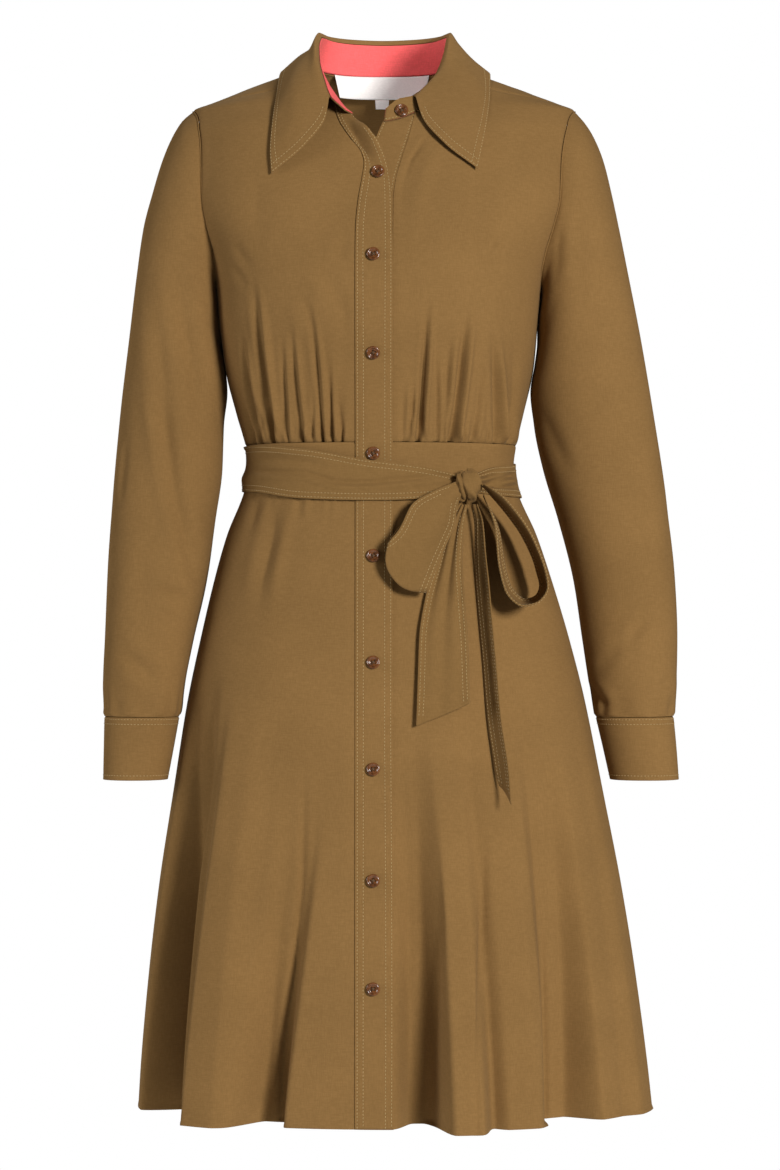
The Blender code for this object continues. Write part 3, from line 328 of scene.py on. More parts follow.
# Creases of the cloth seen from the front: three points of the line, depth and half width, how much of
# the cloth stands up on its left and right, and 1 where it runs out at its lower end, else 0.
FRONT_CREASES = (
    # x, z of the top, x, z of the middle, x, z of the bottom, depth, half width, left, right, open
    (-122, -205, -114, -275, -103, -364, 4.4, 3.2, 0.3, 1.1, 1),
    (-133, -256, -124.5, -315, -114, -364, 4, 2.6, 0.3, 0.9, 1),
    (-119, -318, -113.5, -342, -108.5, -364, 2.4, 1.9, 0.3, 0.7, 1),
    (-130, -322, -126, -344, -121, -364, 2.2, 2, 0.3, 0.7, 1),
    (-108, -300, -103, -335, -96, -364, 2.2, 2.1, 0.3, 0.7, 1),
    (-95, -262, -91.5, -325, -88.5, -364, 2.4, 2.1, 0.3, 0.8, 1),
    (-87, -250, -80, -320, -75.5, -364, 2.9, 2.4, 0.2, 1, 1),
    (-71, -228, -62, -290, -57.5, -364, 3.2, 2.6, 0.3, 1.1, 1),
    (-66, -300, -65, -335, -66.5, -364, 2, 2, 0.3, 0.6, 1),
    (-50, -286, -49, -335, -48, -364, 2.2, 2, 0.3, 0.8, 1),
    (-42, -318, -41, -340, -39.5, -364, 1.6, 2, 0.4, 0.6, 1),
    (-58, -196, -40, -240, -27, -275, 1.8, 8, 0.5, 0.3, 0),
    (-76, -222, -70, -250, -64, -276, 1.4, 6, 0.4, 0.4, 0),
    (41, -228, 37, -295, 32, -364, 6, 2.6, 0.2, 1, 1),
    (29, -305, 26, -335, 22, -364, 4, 2.2, 0.3, 0.7, 1),
    (48, -285, 49, -325, 47, -364, 2.6, 2.6, 0.4, 0.6, 1),
    (62, -262, 58, -310, 55, -364, 2.6, 3.4, 0.4, 0.7, 1),
    (78, -232, 70, -297, 63, -364, 5.5, 3.4, 0.4, 1.3, 1),
    (88, -290, 86, -330, 82, -364, 2.6, 2.8, 0.4, 0.7, 1),
    (99, -250, 103, -310, 105, -364, 4.2, 3.4, 0.4, 1.2, 1),
    (121, -262, 121, -315, 115, -364, 2.4, 4, 0.5, 0.4, 1),
)

# Gathers at the waist: seed of the draws (the skirt's panels have their own), pitch, depth and reach.
# GATHERED has the first and the last x of the gathers, by side where there are two.
FRONT_GATHERS = ((5, 5.6, 1.9, 20), (8, 9, 2, 46), (21, 15, 1.5, 95))
FRONT_GATHERED = {-1: (-122.0, -38.0), 1: (18.0, 119.0)}
BACK_GATHERS = ((7, 6, 1.4, 22), (9, 10, 2, 50))
BACK_GATHERED = (-98.0, 96.0)
SKIRT_FRONT_GATHERS = (9, 0.8, 30)
SKIRT_BACK_GATHERS = (8, 1.2, 45)
SKIRT_GATHERED = (-120.0, 122.0)

# Creases as a path of (x, z), depth, half width, swell above or right, swell below or left, and the share
# of the path over which each end grows. Paths that go on below the hem run out over it.
BODICE_PATHS = (
    (((-139, -178), (-128, -197), (-117, -208)), 1, 4, 0.4, 0.5, 0.4),
    (((-141, -198), (-132, -212), (-124, -226)), 0.8, 3.5, 0.3, 0.5, 0.4),
    (((-118, -105), (-117, -150), (-112, -195)), 2.2, 14, 0.3, 0.3, 0.4),
    (((112, -170), (107, -185), (103, -199)), 1.8, 5, 0.4, 0.6, 0.4),
    (((86, -95), (84, -140), (98, -190)), 1.6, 12, 0.3, 0.4, 0.4),
    (((46, -76), (25, -104), (16, -130), (12, -172)), 2.2, 2.4, 0, 0.1, 0.35),
    (((46, -70), (27, -104), (18, -132), (14, -185)), 0.35, 8, 7.5, 0, 0.45),
    (((-30, -170), (-38, -190), (-46, -205)), 1, 6, 0.3, 0.3, 0.4),
)
BACK_PATHS = (
    (((-60, -330), (-66, -260), (-80, -190)), 2.6, 8, 0.6, 0.5, 0.5),
    (((-25, -345), (-28, -290), (-30, -240)), 2.2, 6, 0.6, 0.6, 0.5),
    (((20, -345), (24, -280), (28, -225)), 2.4, 7, 0.5, 0.6, 0.5),
    (((62, -335), (70, -265), (84, -195)), 2.6, 8, 0.5, 0.6, 0.5),
    (((-150, -210), (-120, -180), (-92, -160)), 1.8, 9, 0.4, 0.4, 0.4),
    (((150, -210), (120, -180), (92, -160)), 1.8, 9, 0.4, 0.4, 0.4),
)
SKIRT_PATHS = (
    (((-97, -404), (-104, -452), (-113, -490), (-117, -532)), 3.4, 6.5, 0.9, 0.4, 0.5),
    (((-79, -404), (-79, -420), (-78, -441)), 1.6, 3.5, 0.5, 0.3, 0.5),
    (((-115, -406), (-120, -430), (-126, -452)), 2, 4.5, 0.5, 0.4, 0.5),
    (((92, -404), (96, -450), (99, -500)), 2, 8, 0.5, 0.5, 0.5),
    (((-150, -590), (-163, -690), (-170, -780)), 2.4, 7, 0.5, 0.4, 0.5),
    (((-72, -640), (-74, -766), (-83, -857), (-92, -918), (-98, -1100)), 4.5, 3.2, 0.1, 0.1, 0.35),
    (((94, -690), (90, -790), (87.5, -856), (85, -930), (84.5, -1100)), 4, 2.8, 0, 0.1, 0.45),
    (((144, -780), (148, -880), (152, -1100)), 3.2, 2.8, 0.1, 0.3, 0.3),
    (((47, -690), (50, -800), (44, -900), (40, -1100)), 3.5, 5, 0, 0, 0.3),
)
SLEEVE_PATHS_RIGHT = (
    (((-214, -300), (-204.7, -343), (-193.5, -418), (-181, -474), (-171, -520)), 4, 7, 0.2, 0.6, 0.3),
    (((-193, -175), (-190, -230), (-178, -300), (-172, -380)), 3.4, 9, 0.4, 0.6, 0.4),
    (((-212, -215), (-208, -280), (-203, -340), (-196, -420)), 2.6, 8, 0.4, 0.6, 0.4),
    (((-220, -512), (-205, -505), (-190, -508), (-178, -520)), 2.6, 6, 0.6, 0.5, 0.4),
    (((-252, -560), (-238, -566), (-222, -578), (-208, -596)), 2.8, 7, 0.6, 0.6, 0.4),
    (((-241, -352), (-244, -385), (-249, -430)), 1.8, 3, 0.2, 0.8, 0.4),
    (((-226, -440), (-224, -500), (-228, -545)), 1.6, 10, 0.4, 0.4, 0.4),
)
SLEEVE_PATHS_LEFT = (
    (((164, -150), (163, -190), (160, -222)), 1.8, 5, 0.4, 0.5, 0.4),
    (((182, -120), (186, -180), (184, -250)), 1.4, 11, 0.4, 0.3, 0.4),
    (((146, -325), (160, -360), (178, -398)), 1.6, 6, 0.4, 0.5, 0.4),
    (((250, -522), (236, -540), (224, -554)), 2.4, 5, 0.6, 0.6, 0.4),
    (((224, -554), (208, -566), (196, -572)), 1.8, 6, 0.5, 0.5, 0.4),
    (((191, -588), (200, -604), (213, -612)), 2.6, 4.5, 0.5, 0.5, 0.3),
    (((268, -578), (262, -592), (250, -606)), 1.8, 4.5, 0.6, 0.6, 0.4),
    (((266, -405), (268, -460), (266, -510)), 1.4, 6, 0.3, 0.5, 0.4),
)
SLEEVE_PATHS_BACK = (
    (((176, -250), (200, -300), (214, -350)), 3, 10, 0.5, 0.5, 0.4),
    (((182, -400), (206, -392), (232, -402)), 3.2, 7, 0.6, 0.6, 0.4),
    (((188, -430), (212, -424), (240, -440)), 2.6, 7, 0.6, 0.6, 0.4),
    (((200, -500), (224, -530), (236, -570)), 2.2, 8, 0.4, 0.4, 0.4),
)
BELT_PATHS = (
    (((-131, -389), (-104, -392), (-72, -393), (-44, -402), (-14, -402.5), (56, -396)),
     2, 2.6, 0.2, 0.8, 0.15),
    (((-128, -381), (-100, -380), (-70, -384), (-46, -391)), 1.3, 4, 0.6, 0.4, 0.3),
    (((92, -402), (108, -398), (126, -392)), 3, 3, 0.5, 0.7, 0.2),
    (((92, -406), (108, -406.5), (128, -403)), 2.6, 2.6, 0.5, 0.5, 0.2),
)
# Depth of the long folds of each ribbon, how many, and where across it they start.
RIBBON_FOLDS = {
    "belt_loop_right": (0.45, 1.5, 0.4),
    "belt_loop_left": (0.5, 1.2, 1),
    "belt_tail_right": (1.8, 2.6, 0.9),
    "belt_tail_left": (1, 1.3, 0.5),
}
LOOP_END = (4.5, 1.6, 17)  # station of the flat loop's end, reach along the stations, bulge in mm

# Colors (linear), and the weave of the crepe.
KHAKI = (0.225, 0.127, 0.0455)
# The belt is the same cloth as the dress: its colour is the dress's khaki made darker, which paints shade on
# the belt and bow.
BELT_KHAKI_PAINTED_SHADE = (0.204, 0.116, 0.041)
CORAL = (0.88, 0.140, 0.140)
WHITE = (0.80, 0.80, 0.78)
THREAD = (0.43, 0.30, 0.13)
BUTTON_THREAD = (0.10, 0.055, 0.022)
RESIN_DARK = (0.040, 0.012, 0.003)
RESIN_LIGHT = (0.160, 0.055, 0.014)
THREADS_PER_METRE = 1300.0
WARP_STRETCH = (1.0, 1.0, 0.12)
WEFT_STRETCH = (0.12, 0.12, 1.0)
WEAVE_STRENGTH = 0.4

# Half section of a button.
BUTTON_PROFILE = (
    # share of the radius, share of the thickness: from the middle of the face over the rim to the back
    (0, 0.5), (0.3, 0.5), (0.5, 0.52), (0.58, 0.6), (0.66, 0.8), (0.74, 0.95), (0.82, 1), (0.9, 0.97),
    (0.97, 0.84), (1, 0.62), (0.98, 0.42), (0.9, 0.2), (0.78, 0.04), (0.66, 0), (0, 0),
)
# A bar of the buttons' thread: share of the way to a hole, and height over the sunk middle of the face.
BUTTON_BAR = ((-1, -0.6), (-0.8, 0.2), (0, 0.42), (0.8, 0.2), (1, -0.6))
# Turn of each button about its own axis, in degrees.
CUFF_BUTTON_SPIN = 12.0
BUTTON_SPINS = {1: 20, 2: 40, 3: 10, 4: 65, 5: 25, 6: 30, 7: 15, 8: 5, 9: 42, 10: 3}

# ---------------------------------------------------------------- studio, in metres and watts
FLOOR_Z = -1.30
LIGHTS = (
    # name, place, aim, size, power, color
    ("key_light", (1.75, -3.0, 0.25), (0.0, 0.0, -0.5), 0.85, 134.0, (1.0, 0.985, 0.96)),
    ("side_light", (-2.7, -0.7, 0.0), (0.0, 0.0, -0.5), 1.4, 34.0, (1.0, 1.0, 1.0)),
    ("back_light", (-0.5, 3.3, 0.3), (0.0, 0.0, -0.5), 2.6, 60.0, (1.0, 1.0, 1.0)),
    ("neck_light", (-0.01, -0.06, 0.16), (0.0, 0.07, -0.03), 0.06, 0.12, (1.0, 1.0, 1.0)),
    ("inner_light", (0.0, -0.02, -0.12), (0.0, 0.1, -0.09), 0.06, 0.06, (1.0, 1.0, 1.0)),
)
SURROUND_STRENGTH = 0.12
LENS = 103.6
CAMERA = (0.0057, -3.2, -0.497)


# ---------------------------------------------------------------- curves through tables
def table(rows):
    return np.array(rows, dtype=float)


def ease(t):
    """Smooth step from 0 to 1."""
    t = np.clip(t, 0.0, 1.0)
    return t * t * (3.0 - 2.0 * t)


def spow(value, power):
    """A power that keeps the sign."""
    return np.sign(value) * np.abs(value) ** power


def unit(vectors):
    return vectors / (np.linalg.norm(vectors, axis=-1, keepdims=True) + 1e-12)


def follow(xs, ys, x):
    """Values at x of the smooth curve through (xs, ys), whose rows may hold several numbers."""
    xs, ys, x = np.asarray(xs, float), np.asarray(ys, float), np.asarray(x, float)
    single = ys.ndim == 1
    if single:
        ys = ys[:, None]
    if xs[0] > xs[-1]:
        xs, x = -xs, -x
    x = np.clip(x, xs[0], xs[-1])
    rises = np.diff(ys, axis=0) / np.diff(xs)[:, None]
    product = rises[:-1] * rises[1:]
    safe = np.where(product > 0.0, rises[:-1] + rises[1:], 1.0)
    between = np.where(product > 0.0, 2.0 * product / safe, 0.0)
    slopes = np.concatenate([rises[:1], between, rises[-1:]])
    k = np.clip(np.searchsorted(xs, x, side="right") - 1, 0, len(xs) - 2)
    span = (xs[k + 1] - xs[k])[..., None]
    t = (x - xs[k])[..., None] / span
    value = (ys[k] + (ys[k + 1] - ys[k]) * ease(t)
             + span * t * (1.0 - t) * (slopes[k] * (1.0 - t) - slopes[k + 1] * t))
    return value[..., 0] if single else value


def along_line(wanted, runs, line):
    """Rows of a line at wanted runs, straight between its own rows."""
    return np.stack([np.interp(wanted, runs, column) for column in line.T], -1)


def lengths(points):
    """Length along a line of points, or down each column of a grid, from its first row."""
    steps = np.linalg.norm(np.diff(points, axis=0), axis=-1)
    return np.concatenate([np.zeros_like(steps[:1]), np.cumsum(steps, axis=0)])


def crowded(count, length, near=6.0, steps=5):
    """Shares from 0 to 1 with extra lines within a few mm of both ends of a length in mm."""
    close = near / length * (np.arange(1, steps + 1) / steps) ** 1.6
    middle = np.linspace(close[-1], 1.0 - close[-1], count)[1:-1]
    return np.concatenate([[0.0], close, middle, (1.0 - close)[::-1], [1.0]])


# ---------------------------------------------------------------- the body surface
BODY_TABLE = table(BODY)


def section(z):
    """half_width, front, back, centre_x and power of the level section at z."""
    return np.moveaxis(follow(BODY_TABLE[:, 0], BODY_TABLE[:, 1:], z), -1, 0)


def flare(angle, z):
    """How far the skirt stands out (+) or in (-) of its plain section."""
    total = np.zeros(np.broadcast(angle, z).shape)
    for centre, reach, width_down, width_up, top_z, lean in FLARES:
        fall = np.clip((top_z - z) / (top_z - HEM_Z), 0.0, None)
        away = (np.degrees(angle) - centre - lean * (1.0 - fall) + 180.0) % 360.0 - 180.0
        width = np.where(away > 0.0, width_up, width_down)
        total = total + reach * ease(STEEPNESS * (1.0 - np.abs(away) / width)) * fall ** 1.2
    return total


def on_section(angle, z):
    """Points of the plain section with its flares."""
    angle, z = np.broadcast_arrays(np.asarray(angle, float), np.asarray(z, float))
    half, front, back, centre, power = section(z)
    cos, sin = np.cos(angle), np.sin(angle)
    depth = np.where(sin < 0.0, front, back)
    point = np.stack([centre + half * spow(cos, 2.0 / power), depth * spow(sin, 2.0 / power), z], -1)
    away = np.stack([spow(cos, 2.0 - 2.0 / power) / half, spow(sin, 2.0 - 2.0 / power) / depth,
                     np.zeros_like(z)], -1)
    return point + unit(away) * flare(angle, z)[..., None]


def skin_normal(angle, z):
    across = on_section(angle + 0.02, z) - on_section(angle - 0.02, z)
    down = on_section(angle, z - 1.0) - on_section(angle, np.minimum(z + 1.0, NECK_SIDE_Z))
    return unit(np.cross(down, across))


def raised(points, normals, out):
    return points + normals * np.asarray(out, float)[..., None]


def skin(angle, z, out=0.0):
    """Points of the dress's outer surface, moved out along its normals."""
    angle, z = np.asarray(angle, float), np.asarray(z, float)
    return raised(on_section(angle, z), skin_normal(angle, z), out)


def angle_at_x(x, z):
    """Angle of the front of the section at z where it passes x."""
    half, _, _, centre, power = section(np.asarray(z, float))
    share = np.clip((x - centre) / half, -1.0, 1.0)
    return -np.arccos(spow(share, power / 2.0))


def mirrored(angle):
    """The same place on the wearer's other side."""
    return np.where(angle <= 0.0, -math.pi - angle, math.pi - angle)


def place(angle, z):
    """Rows of (angle, z)."""
    return np.stack(np.broadcast_arrays(angle, z), -1)


def cover(places):
    """Points and normals of the body surface at places of (angle, z)."""
    angle, z = places[..., 0], places[..., 1]
    return skin(angle, z), skin_normal(angle, z)


# ---------------------------------------------------------------- seam lines, as (angle, z)
def neck_place(degrees):
    """Angle and z of the neck seam at ring angles: 0 left, 90 back, 180 right, 270 front."""
    theta = np.radians(np.asarray(degrees, float))
    cos, sin = np.cos(theta), np.sin(theta)
    dip = np.where(cos > 0.0, np.abs(sin), sin * sin)
    z = NECK_SIDE_Z - NECK_FRONT_DROP * np.where(sin < 0.0, dip, 0.0)
    half, _, _, centre, power = section(z)
    x = NECK_HALF_WIDTH * cos + np.where(sin < 0.0, NECK_TURN * sin * sin - centre, 0.0)
    angle = np.arccos(spow(x / half, power / 2.0))
    return np.where(sin < 0.0, -angle, angle), z


def neck_point(degrees, out=0.0):
    return skin(*neck_place(degrees), out)


RING_DEGREES = {1: np.linspace(270.0, 359.0, 600), -1: np.linspace(181.0, 270.0, 600)}


def ring_angle_on_neck(angle, side):
    """Ring angle where the neck seam passes a body angle, on one side of the front."""
    found = np.interp(angle, neck_place(RING_DEGREES[side])[0], RING_DEGREES[side])
    return found - 360.0 if side > 0 else found


def shoulder_neck_angle(side):
    """Ring angle where the forward shoulder seam meets the neck seam."""
    drop = (NECK_SIDE_Z - SHOULDER_SEAM_Z) / NECK_FRONT_DROP
    if side > 0:
        return -math.degrees(math.asin(drop))
    return 180.0 + math.degrees(math.asin(math.sqrt(drop)))


def armhole(side, front, turns):
    """Angles and heights round the armhole, from the shoulder (pi/2) down to the underarm (-pi/2)."""
    z = 0.5 * (ARM_TOP_Z + ARM_BOTTOM_Z) + 0.5 * (ARM_TOP_Z - ARM_BOTTOM_Z) * np.sin(turns)
    reach = ARM_FRONT_REACH if front else ARM_BACK_REACH
    y = reach * np.clip(np.cos(turns), 0.0, None) ** ARM_ROUNDNESS
    _, front_depth, back_depth, _, power = section(z)
    angle = np.arcsin((y / (front_depth if front else back_depth)) ** (power / 2.0))
    angle = -angle if front else angle
    return (angle if side > 0 else mirrored(angle)), z


def shoulder_line(side):
    """The shoulder seam from the neck to the tip of the shoulder."""
    marks = [neck_place(shoulder_neck_angle(side))]
    for x, z in SHOULDER_SEAM:
        angle = angle_at_x(x, z)
        marks.append((angle if side > 0 else mirrored(angle), z))
    marks.append((0.0 if side > 0 else -math.pi, ARM_TOP_Z))
    return along_line(np.linspace(0.0, 4.0, 33), range(5), table(marks))


def armhole_line(side, front):
    """The armhole and the side seam below it, from the tip of the shoulder to the waist."""
    angle, z = armhole(side, front, np.linspace(0.5 * math.pi, -0.5 * math.pi, 181))
    if side < 0 and front:
        angle = np.where(angle > 0.0, angle - TURN, angle)
    below = np.linspace(ARM_BOTTOM_Z, WAIST_Z, 60)[1:]
    return np.concatenate([place(angle, z), place(angle[-1], below)])


def shares_along(line):
    """Shares of the way along a seam line, by length along the cloth."""
    total = lengths(cover(line)[0])
    return total / total[-1]


def spaced(line):
    """Places down a line, and how far down they lie, judged by its length and its height together."""
    runs = 0.5 * shares_along(line) + 0.5 * (line[:, 1] - line[0, 1]) / (line[-1, 1] - line[0, 1])
    wanted = crowded(BODICE_ROWS, 360.0)
    return along_line(wanted, runs, line), wanted


def front_edge(edge, z, shift=0.0):
    """Places at heights z along a front edge that follows a table of (x, z)."""
    marks = table(edge)
    return place(angle_at_x(follow(marks[:, 1], marks[:, 0], z) + shift, z), z)


def patch(left, right, top, bottom, runs, shares):
    """Places of a four-sided panel: straight across, bent to its top and bottom edges."""
    s = shares[:, None]
    t = runs[:, None, None]
    above = top - (1.0 - s) * top[0] - s * top[-1]
    below = bottom - (1.0 - s) * bottom[0] - s * bottom[-1]
    return ((1.0 - s) * left[:, None] + s * right[:, None]
            + above * (1.0 - t) ** EDGE_BEND + below * t ** EDGE_BEND)


def from_line(points, line):
    """Distance of every point of a grid from a seam line."""
    marks = cover(line)[0]
    best = np.full(points.shape[:2], 1e9)
    for first, second in zip(marks[:-1], marks[1:]):
        step = second - first
        share = np.clip((points - first) @ step / (step @ step + 1e-9), 0.0, 1.0)
        gap = points - first - share[..., None] * step
        best = np.minimum(best, np.sum(gap * gap, -1))
    return np.sqrt(best)


# ---------------------------------------------------------------- relief of the cloth
def grid_normals(points, closed=False):
    down = np.gradient(points, axis=0)
    if closed:
        along = np.roll(points, -1, 1) - np.roll(points, 1, 1)
    else:
        along = np.gradient(points, axis=1)
    return unit(np.cross(down, along))


def faces_front(normals):
    """1 where the cloth faces the front, falling to 0 where it turns away."""
    return ease((0.25 - normals[..., 1]) / 0.5)


def far_from(points, edge):
    """Distance along the grid from one of its edges, at every point."""
    across = edge in ("left", "right")
    total = lengths(np.swapaxes(points, 0, 1) if across else points)
    if edge in ("bottom", "right"):
        total = total[-1] - total
    return total.T if across else total


def groove(away, depth, width):
    """Relief of a smooth groove where a distance passes 0."""
    return -depth * np.exp(-(away / width) ** 2)


def ditch(points, edges, depth, width):
    """The roll of a panel down into its seams."""
    return np.min([groove(far_from(points, edge), depth, width) for edge in edges], axis=0)


def fold(away, low, high, bank=1.9):
    """Section of a crease: a narrow valley with a rounded floor, and a swell on each side of it."""
    valley = np.exp(-1.25 * (away * away + 0.02) ** 0.65)
    return low * np.exp(-(away + bank) ** 2) + high * np.exp(-(away - bank) ** 2) - valley


def crease(x, z, row):
    """Relief of one row of FRONT_CREASES at points (x, z)."""
    x0, z0, x1, z1, x2, z2, depth, width, left, right, runs_out = row
    centre = follow([z0, z1, z2], [x0, x1, x2], z)
    tilt = math.cos(math.atan2(x2 - x0, z0 - z2))
    run = (z0 - z) / (z0 - z2)
    strength = ease(run / 0.55) * (run <= 1.05 if runs_out else ease((1.0 - run) / 0.4))
    return depth * strength * fold((x - centre) * tilt / width, left, right)


def path_crease(x, z, path, depth, width, above, below, ends):
    """Relief of a crease along a path of (x, z); above and below are the swells on its two sides."""
    path = table(path)
    before = lengths(path)
    best = np.full(x.shape, 1e9)
    away, run = np.zeros(x.shape), np.zeros(x.shape)
    for start, step, passed, length in zip(path, np.diff(path, axis=0), before, np.diff(before)):
        dx, dz = x - start[0], z - start[1]
        along = np.clip((dx * step[0] + dz * step[1]) / length ** 2, 0.0, 1.0)
        gap = np.hypot(dx - along * step[0], dz - along * step[1])
        closer = gap < best
        best = np.where(closer, gap, best)
        away = np.where(closer, gap * np.sign(step[0] * dz - step[1] * dx), away)
        run = np.where(closer, (passed + along * length) / before[-1], run)
    strength = ease(run / ends) * ease((1.0 - run) / ends)
    return depth * strength * fold(away / width, below, above)


def by_paths(x, z, rows):
    """Relief of all the creases of a table of paths."""
    return sum(path_crease(x, z, *row) for row in rows)


def gathers(x, z, first, last, seam_z, seed, pitch, depth, reach):
    """Small gathers that rise from a seam between two places."""
    random = np.random.default_rng(seed)
    total = np.zeros_like(x)
    at = first
    while at < last:
        high = reach * random.uniform(0.5, 1.6)
        width = pitch * random.uniform(0.26, 0.40)
        lean = random.uniform(-0.10, 0.10)
        centre = at + lean * (z - seam_z)
        strength = ease(1.0 - np.abs(z - seam_z) / high) * random.uniform(0.5, 1.3) * depth
        total += strength * fold((x - centre) / width, 0.0, 0.7, 1.8)
        at += pitch * random.uniform(0.7, 1.4)
    return total


def waves(x, z, seed, height, shortest=70.0, longest=170.0, count=9):
    """Slow unevenness of hanging cloth, stretched along its length."""
    random = np.random.default_rng(seed)
    total = np.zeros_like(x)
    for _ in range(count):
        length = random.uniform(shortest, longest)
        turn = random.normal(0.0, 0.35)
        phase = random.uniform(0.0, TURN)
        total += np.sin(TURN * (x * math.cos(turn) + 0.5 * z * math.sin(turn)) / length + phase)
    return total * height / math.sqrt(count)


# ---------------------------------------------------------------- pieces
def link(name, data):
    """A new object in the scene."""
    thing = bpy.data.objects.new(name, data)
    bpy.context.scene.collection.objects.link(thing)
    return thing


def smooth_mesh(name, verts, faces, material):
    mesh = bpy.data.meshes.new(name)
    mesh.from_pydata(verts, [], faces)
    mesh.shade_smooth()
    mesh.materials.append(material)
    return mesh


def make_shell(name, points, material, wall, closed=False, grow=-1.0):
    """A piece from a grid of points (mm), thickened inwards (-1), outwards (1) or to both sides (0)."""
    rows, columns = points.shape[:2]
    index = np.arange(rows * columns).reshape(rows, columns)
    if closed:
        index = np.concatenate([index, index[:, :1]], 1)
    faces = np.stack([index[:-1, :-1], index[1:, :-1], index[1:, 1:], index[:-1, 1:]], -1).reshape(-1, 4)
    verts = points.reshape(-1, 3) * MM
    piece = link(name, smooth_mesh(name, verts.tolist(), faces.tolist(), material))
    shell = piece.modifiers.new("Wall", "SOLIDIFY")
    shell.thickness = wall * MM
    shell.offset = grow
    shell.use_rim = True
    return piece


def belongs(piece, node):
    """Declare a piece: it rides on the root, and stands for a CAD node if one is given."""
    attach(piece, "root")
    if node:
        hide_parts(node)


def cloth(node, points, wall, slot_name="khaki_crepe", closed=False, grow=-1.0):
    """A declared sheet of cloth that stands for a CAD node."""
    piece = make_shell("cloth_" + node, points, looks[slot_name], wall, closed, grow)
    belongs(piece, node)


def beside(points, normals, edge, distance, first, last):
    """Line on a grid that keeps a distance from one of its edges, with the normals along it."""
    if edge in ("top", "bottom"):
        points, normals = np.swapaxes(points, 0, 1), np.swapaxes(normals, 0, 1)
    if edge in ("right", "bottom"):
        points, normals = points[:, ::-1], normals[:, ::-1]
    away = far_from(points, "left")
    span = range(int(first * (len(points) - 1)), int(last * (len(points) - 1)) + 1)
    line = [along_line(distance, away[i], points[i]) for i in span]
    out = [along_line(distance, away[i], normals[i]) for i in span]
    return np.array(line), unit(np.array(out))


stitch_lines = []


def topstitch(points, rows, out=0.0, face=1.0):
    """Note rows of stitches on a grid: edge, distance from it, and the first and last share of it."""
    normals = face * grid_normals(points)
    points = points + out * normals
    for edge, distance, first, last in rows:
        stitch_lines.append(beside(points, normals, edge, distance, first, last))


def tube_faces(base, rings, corners):
    """Faces of a closed tube whose rings of corners are numbered from base on."""
    faces = []
    for low in range(base, base + corners * (rings - 1), corners):
        for k in range(corners):
            after = (k + 1) % corners
            faces.append((low + k, low + after, low + corners + after, low + corners + k))
    faces.append(tuple(range(base + corners - 1, base - 1, -1)))
    faces.append(tuple(range(base + corners * (rings - 1), base + corners * rings)))
    return faces


def make_stitches(material):
    """All rows of topstitching, as one piece of small raised threads."""
    verts, faces = [], []
    for line, out in stitch_lines:
        run = lengths(line)
        for start in np.arange(STITCH_START, run[-1] - STITCH_LENGTH, STITCH_PITCH):
            marks = start + STITCH_LENGTH * np.array([0.0, 0.5, 1.0])
            centre = along_line(marks, run, line)
            normal = unit(along_line(marks, run, out))
            side = unit(np.cross(normal, unit(centre[-1] - centre[0])))
            centre = centre + normal * table(STITCH_LIFTS)[:, None]
            faces += tube_faces(len(verts), 3, 4)
            for middle, across, up in zip(centre, side, normal):
                for a, b in ((-1.0, 0.0), (0.0, 1.0), (1.0, 0.0), (0.0, -1.0)):
                    verts.append((middle + STITCH_RADIUS * (a * across + b * up)) * MM)
    verts = np.array(verts).tolist()
    belongs(link("topstitching", smooth_mesh("topstitching", verts, faces, material)), None)


# ---------------------------------------------------------------- materials
def principled(name, roughness):
    material = bpy.data.materials.new(name)
    material.use_nodes = True
    shader = material.node_tree.nodes["Principled BSDF"]
    shader.inputs["Roughness"].default_value = roughness
    return material, material.node_tree, shader


def noise(tree, scale, detail=1.0, stretch=(1.0, 1.0, 1.0)):
    """Noise over the object's own coordinates; scale is in features per metre."""
    spot = tree.nodes.new("ShaderNodeTexCoord")
    shape = tree.nodes.new("ShaderNodeMapping")
    shape.inputs["Scale"].default_value = stretch
    texture = tree.nodes.new("ShaderNodeTexNoise")
    texture.inputs["Scale"].default_value = scale
    texture.inputs["Detail"].default_value = detail
    tree.links.new(spot.outputs["Object"], shape.inputs["Vector"])
    tree.links.new(shape.outputs["Vector"], texture.inputs["Vector"])
    return texture.outputs["Fac"]


def blend_colors(tree, fac, low, high, first=0.35, last=0.65):
    ramp = tree.nodes.new("ShaderNodeValToRGB")
    for element, position, color in zip(ramp.color_ramp.elements, (first, last), (low, high)):
        element.position = position
        element.color = (*color, 1.0)
    tree.links.new(fac, ramp.inputs["Fac"])
    return ramp.outputs["Color"]


def times(color, share):
    return tuple(c * share for c in color)


def bump(tree, shader, height, distance):
    node = tree.nodes.new("ShaderNodeBump")
    node.inputs["Strength"].default_value = WEAVE_STRENGTH
    node.inputs["Distance"].default_value = distance
    tree.links.new(height, node.inputs["Height"])
    tree.links.new(node.outputs["Normal"], shader.inputs["Normal"])


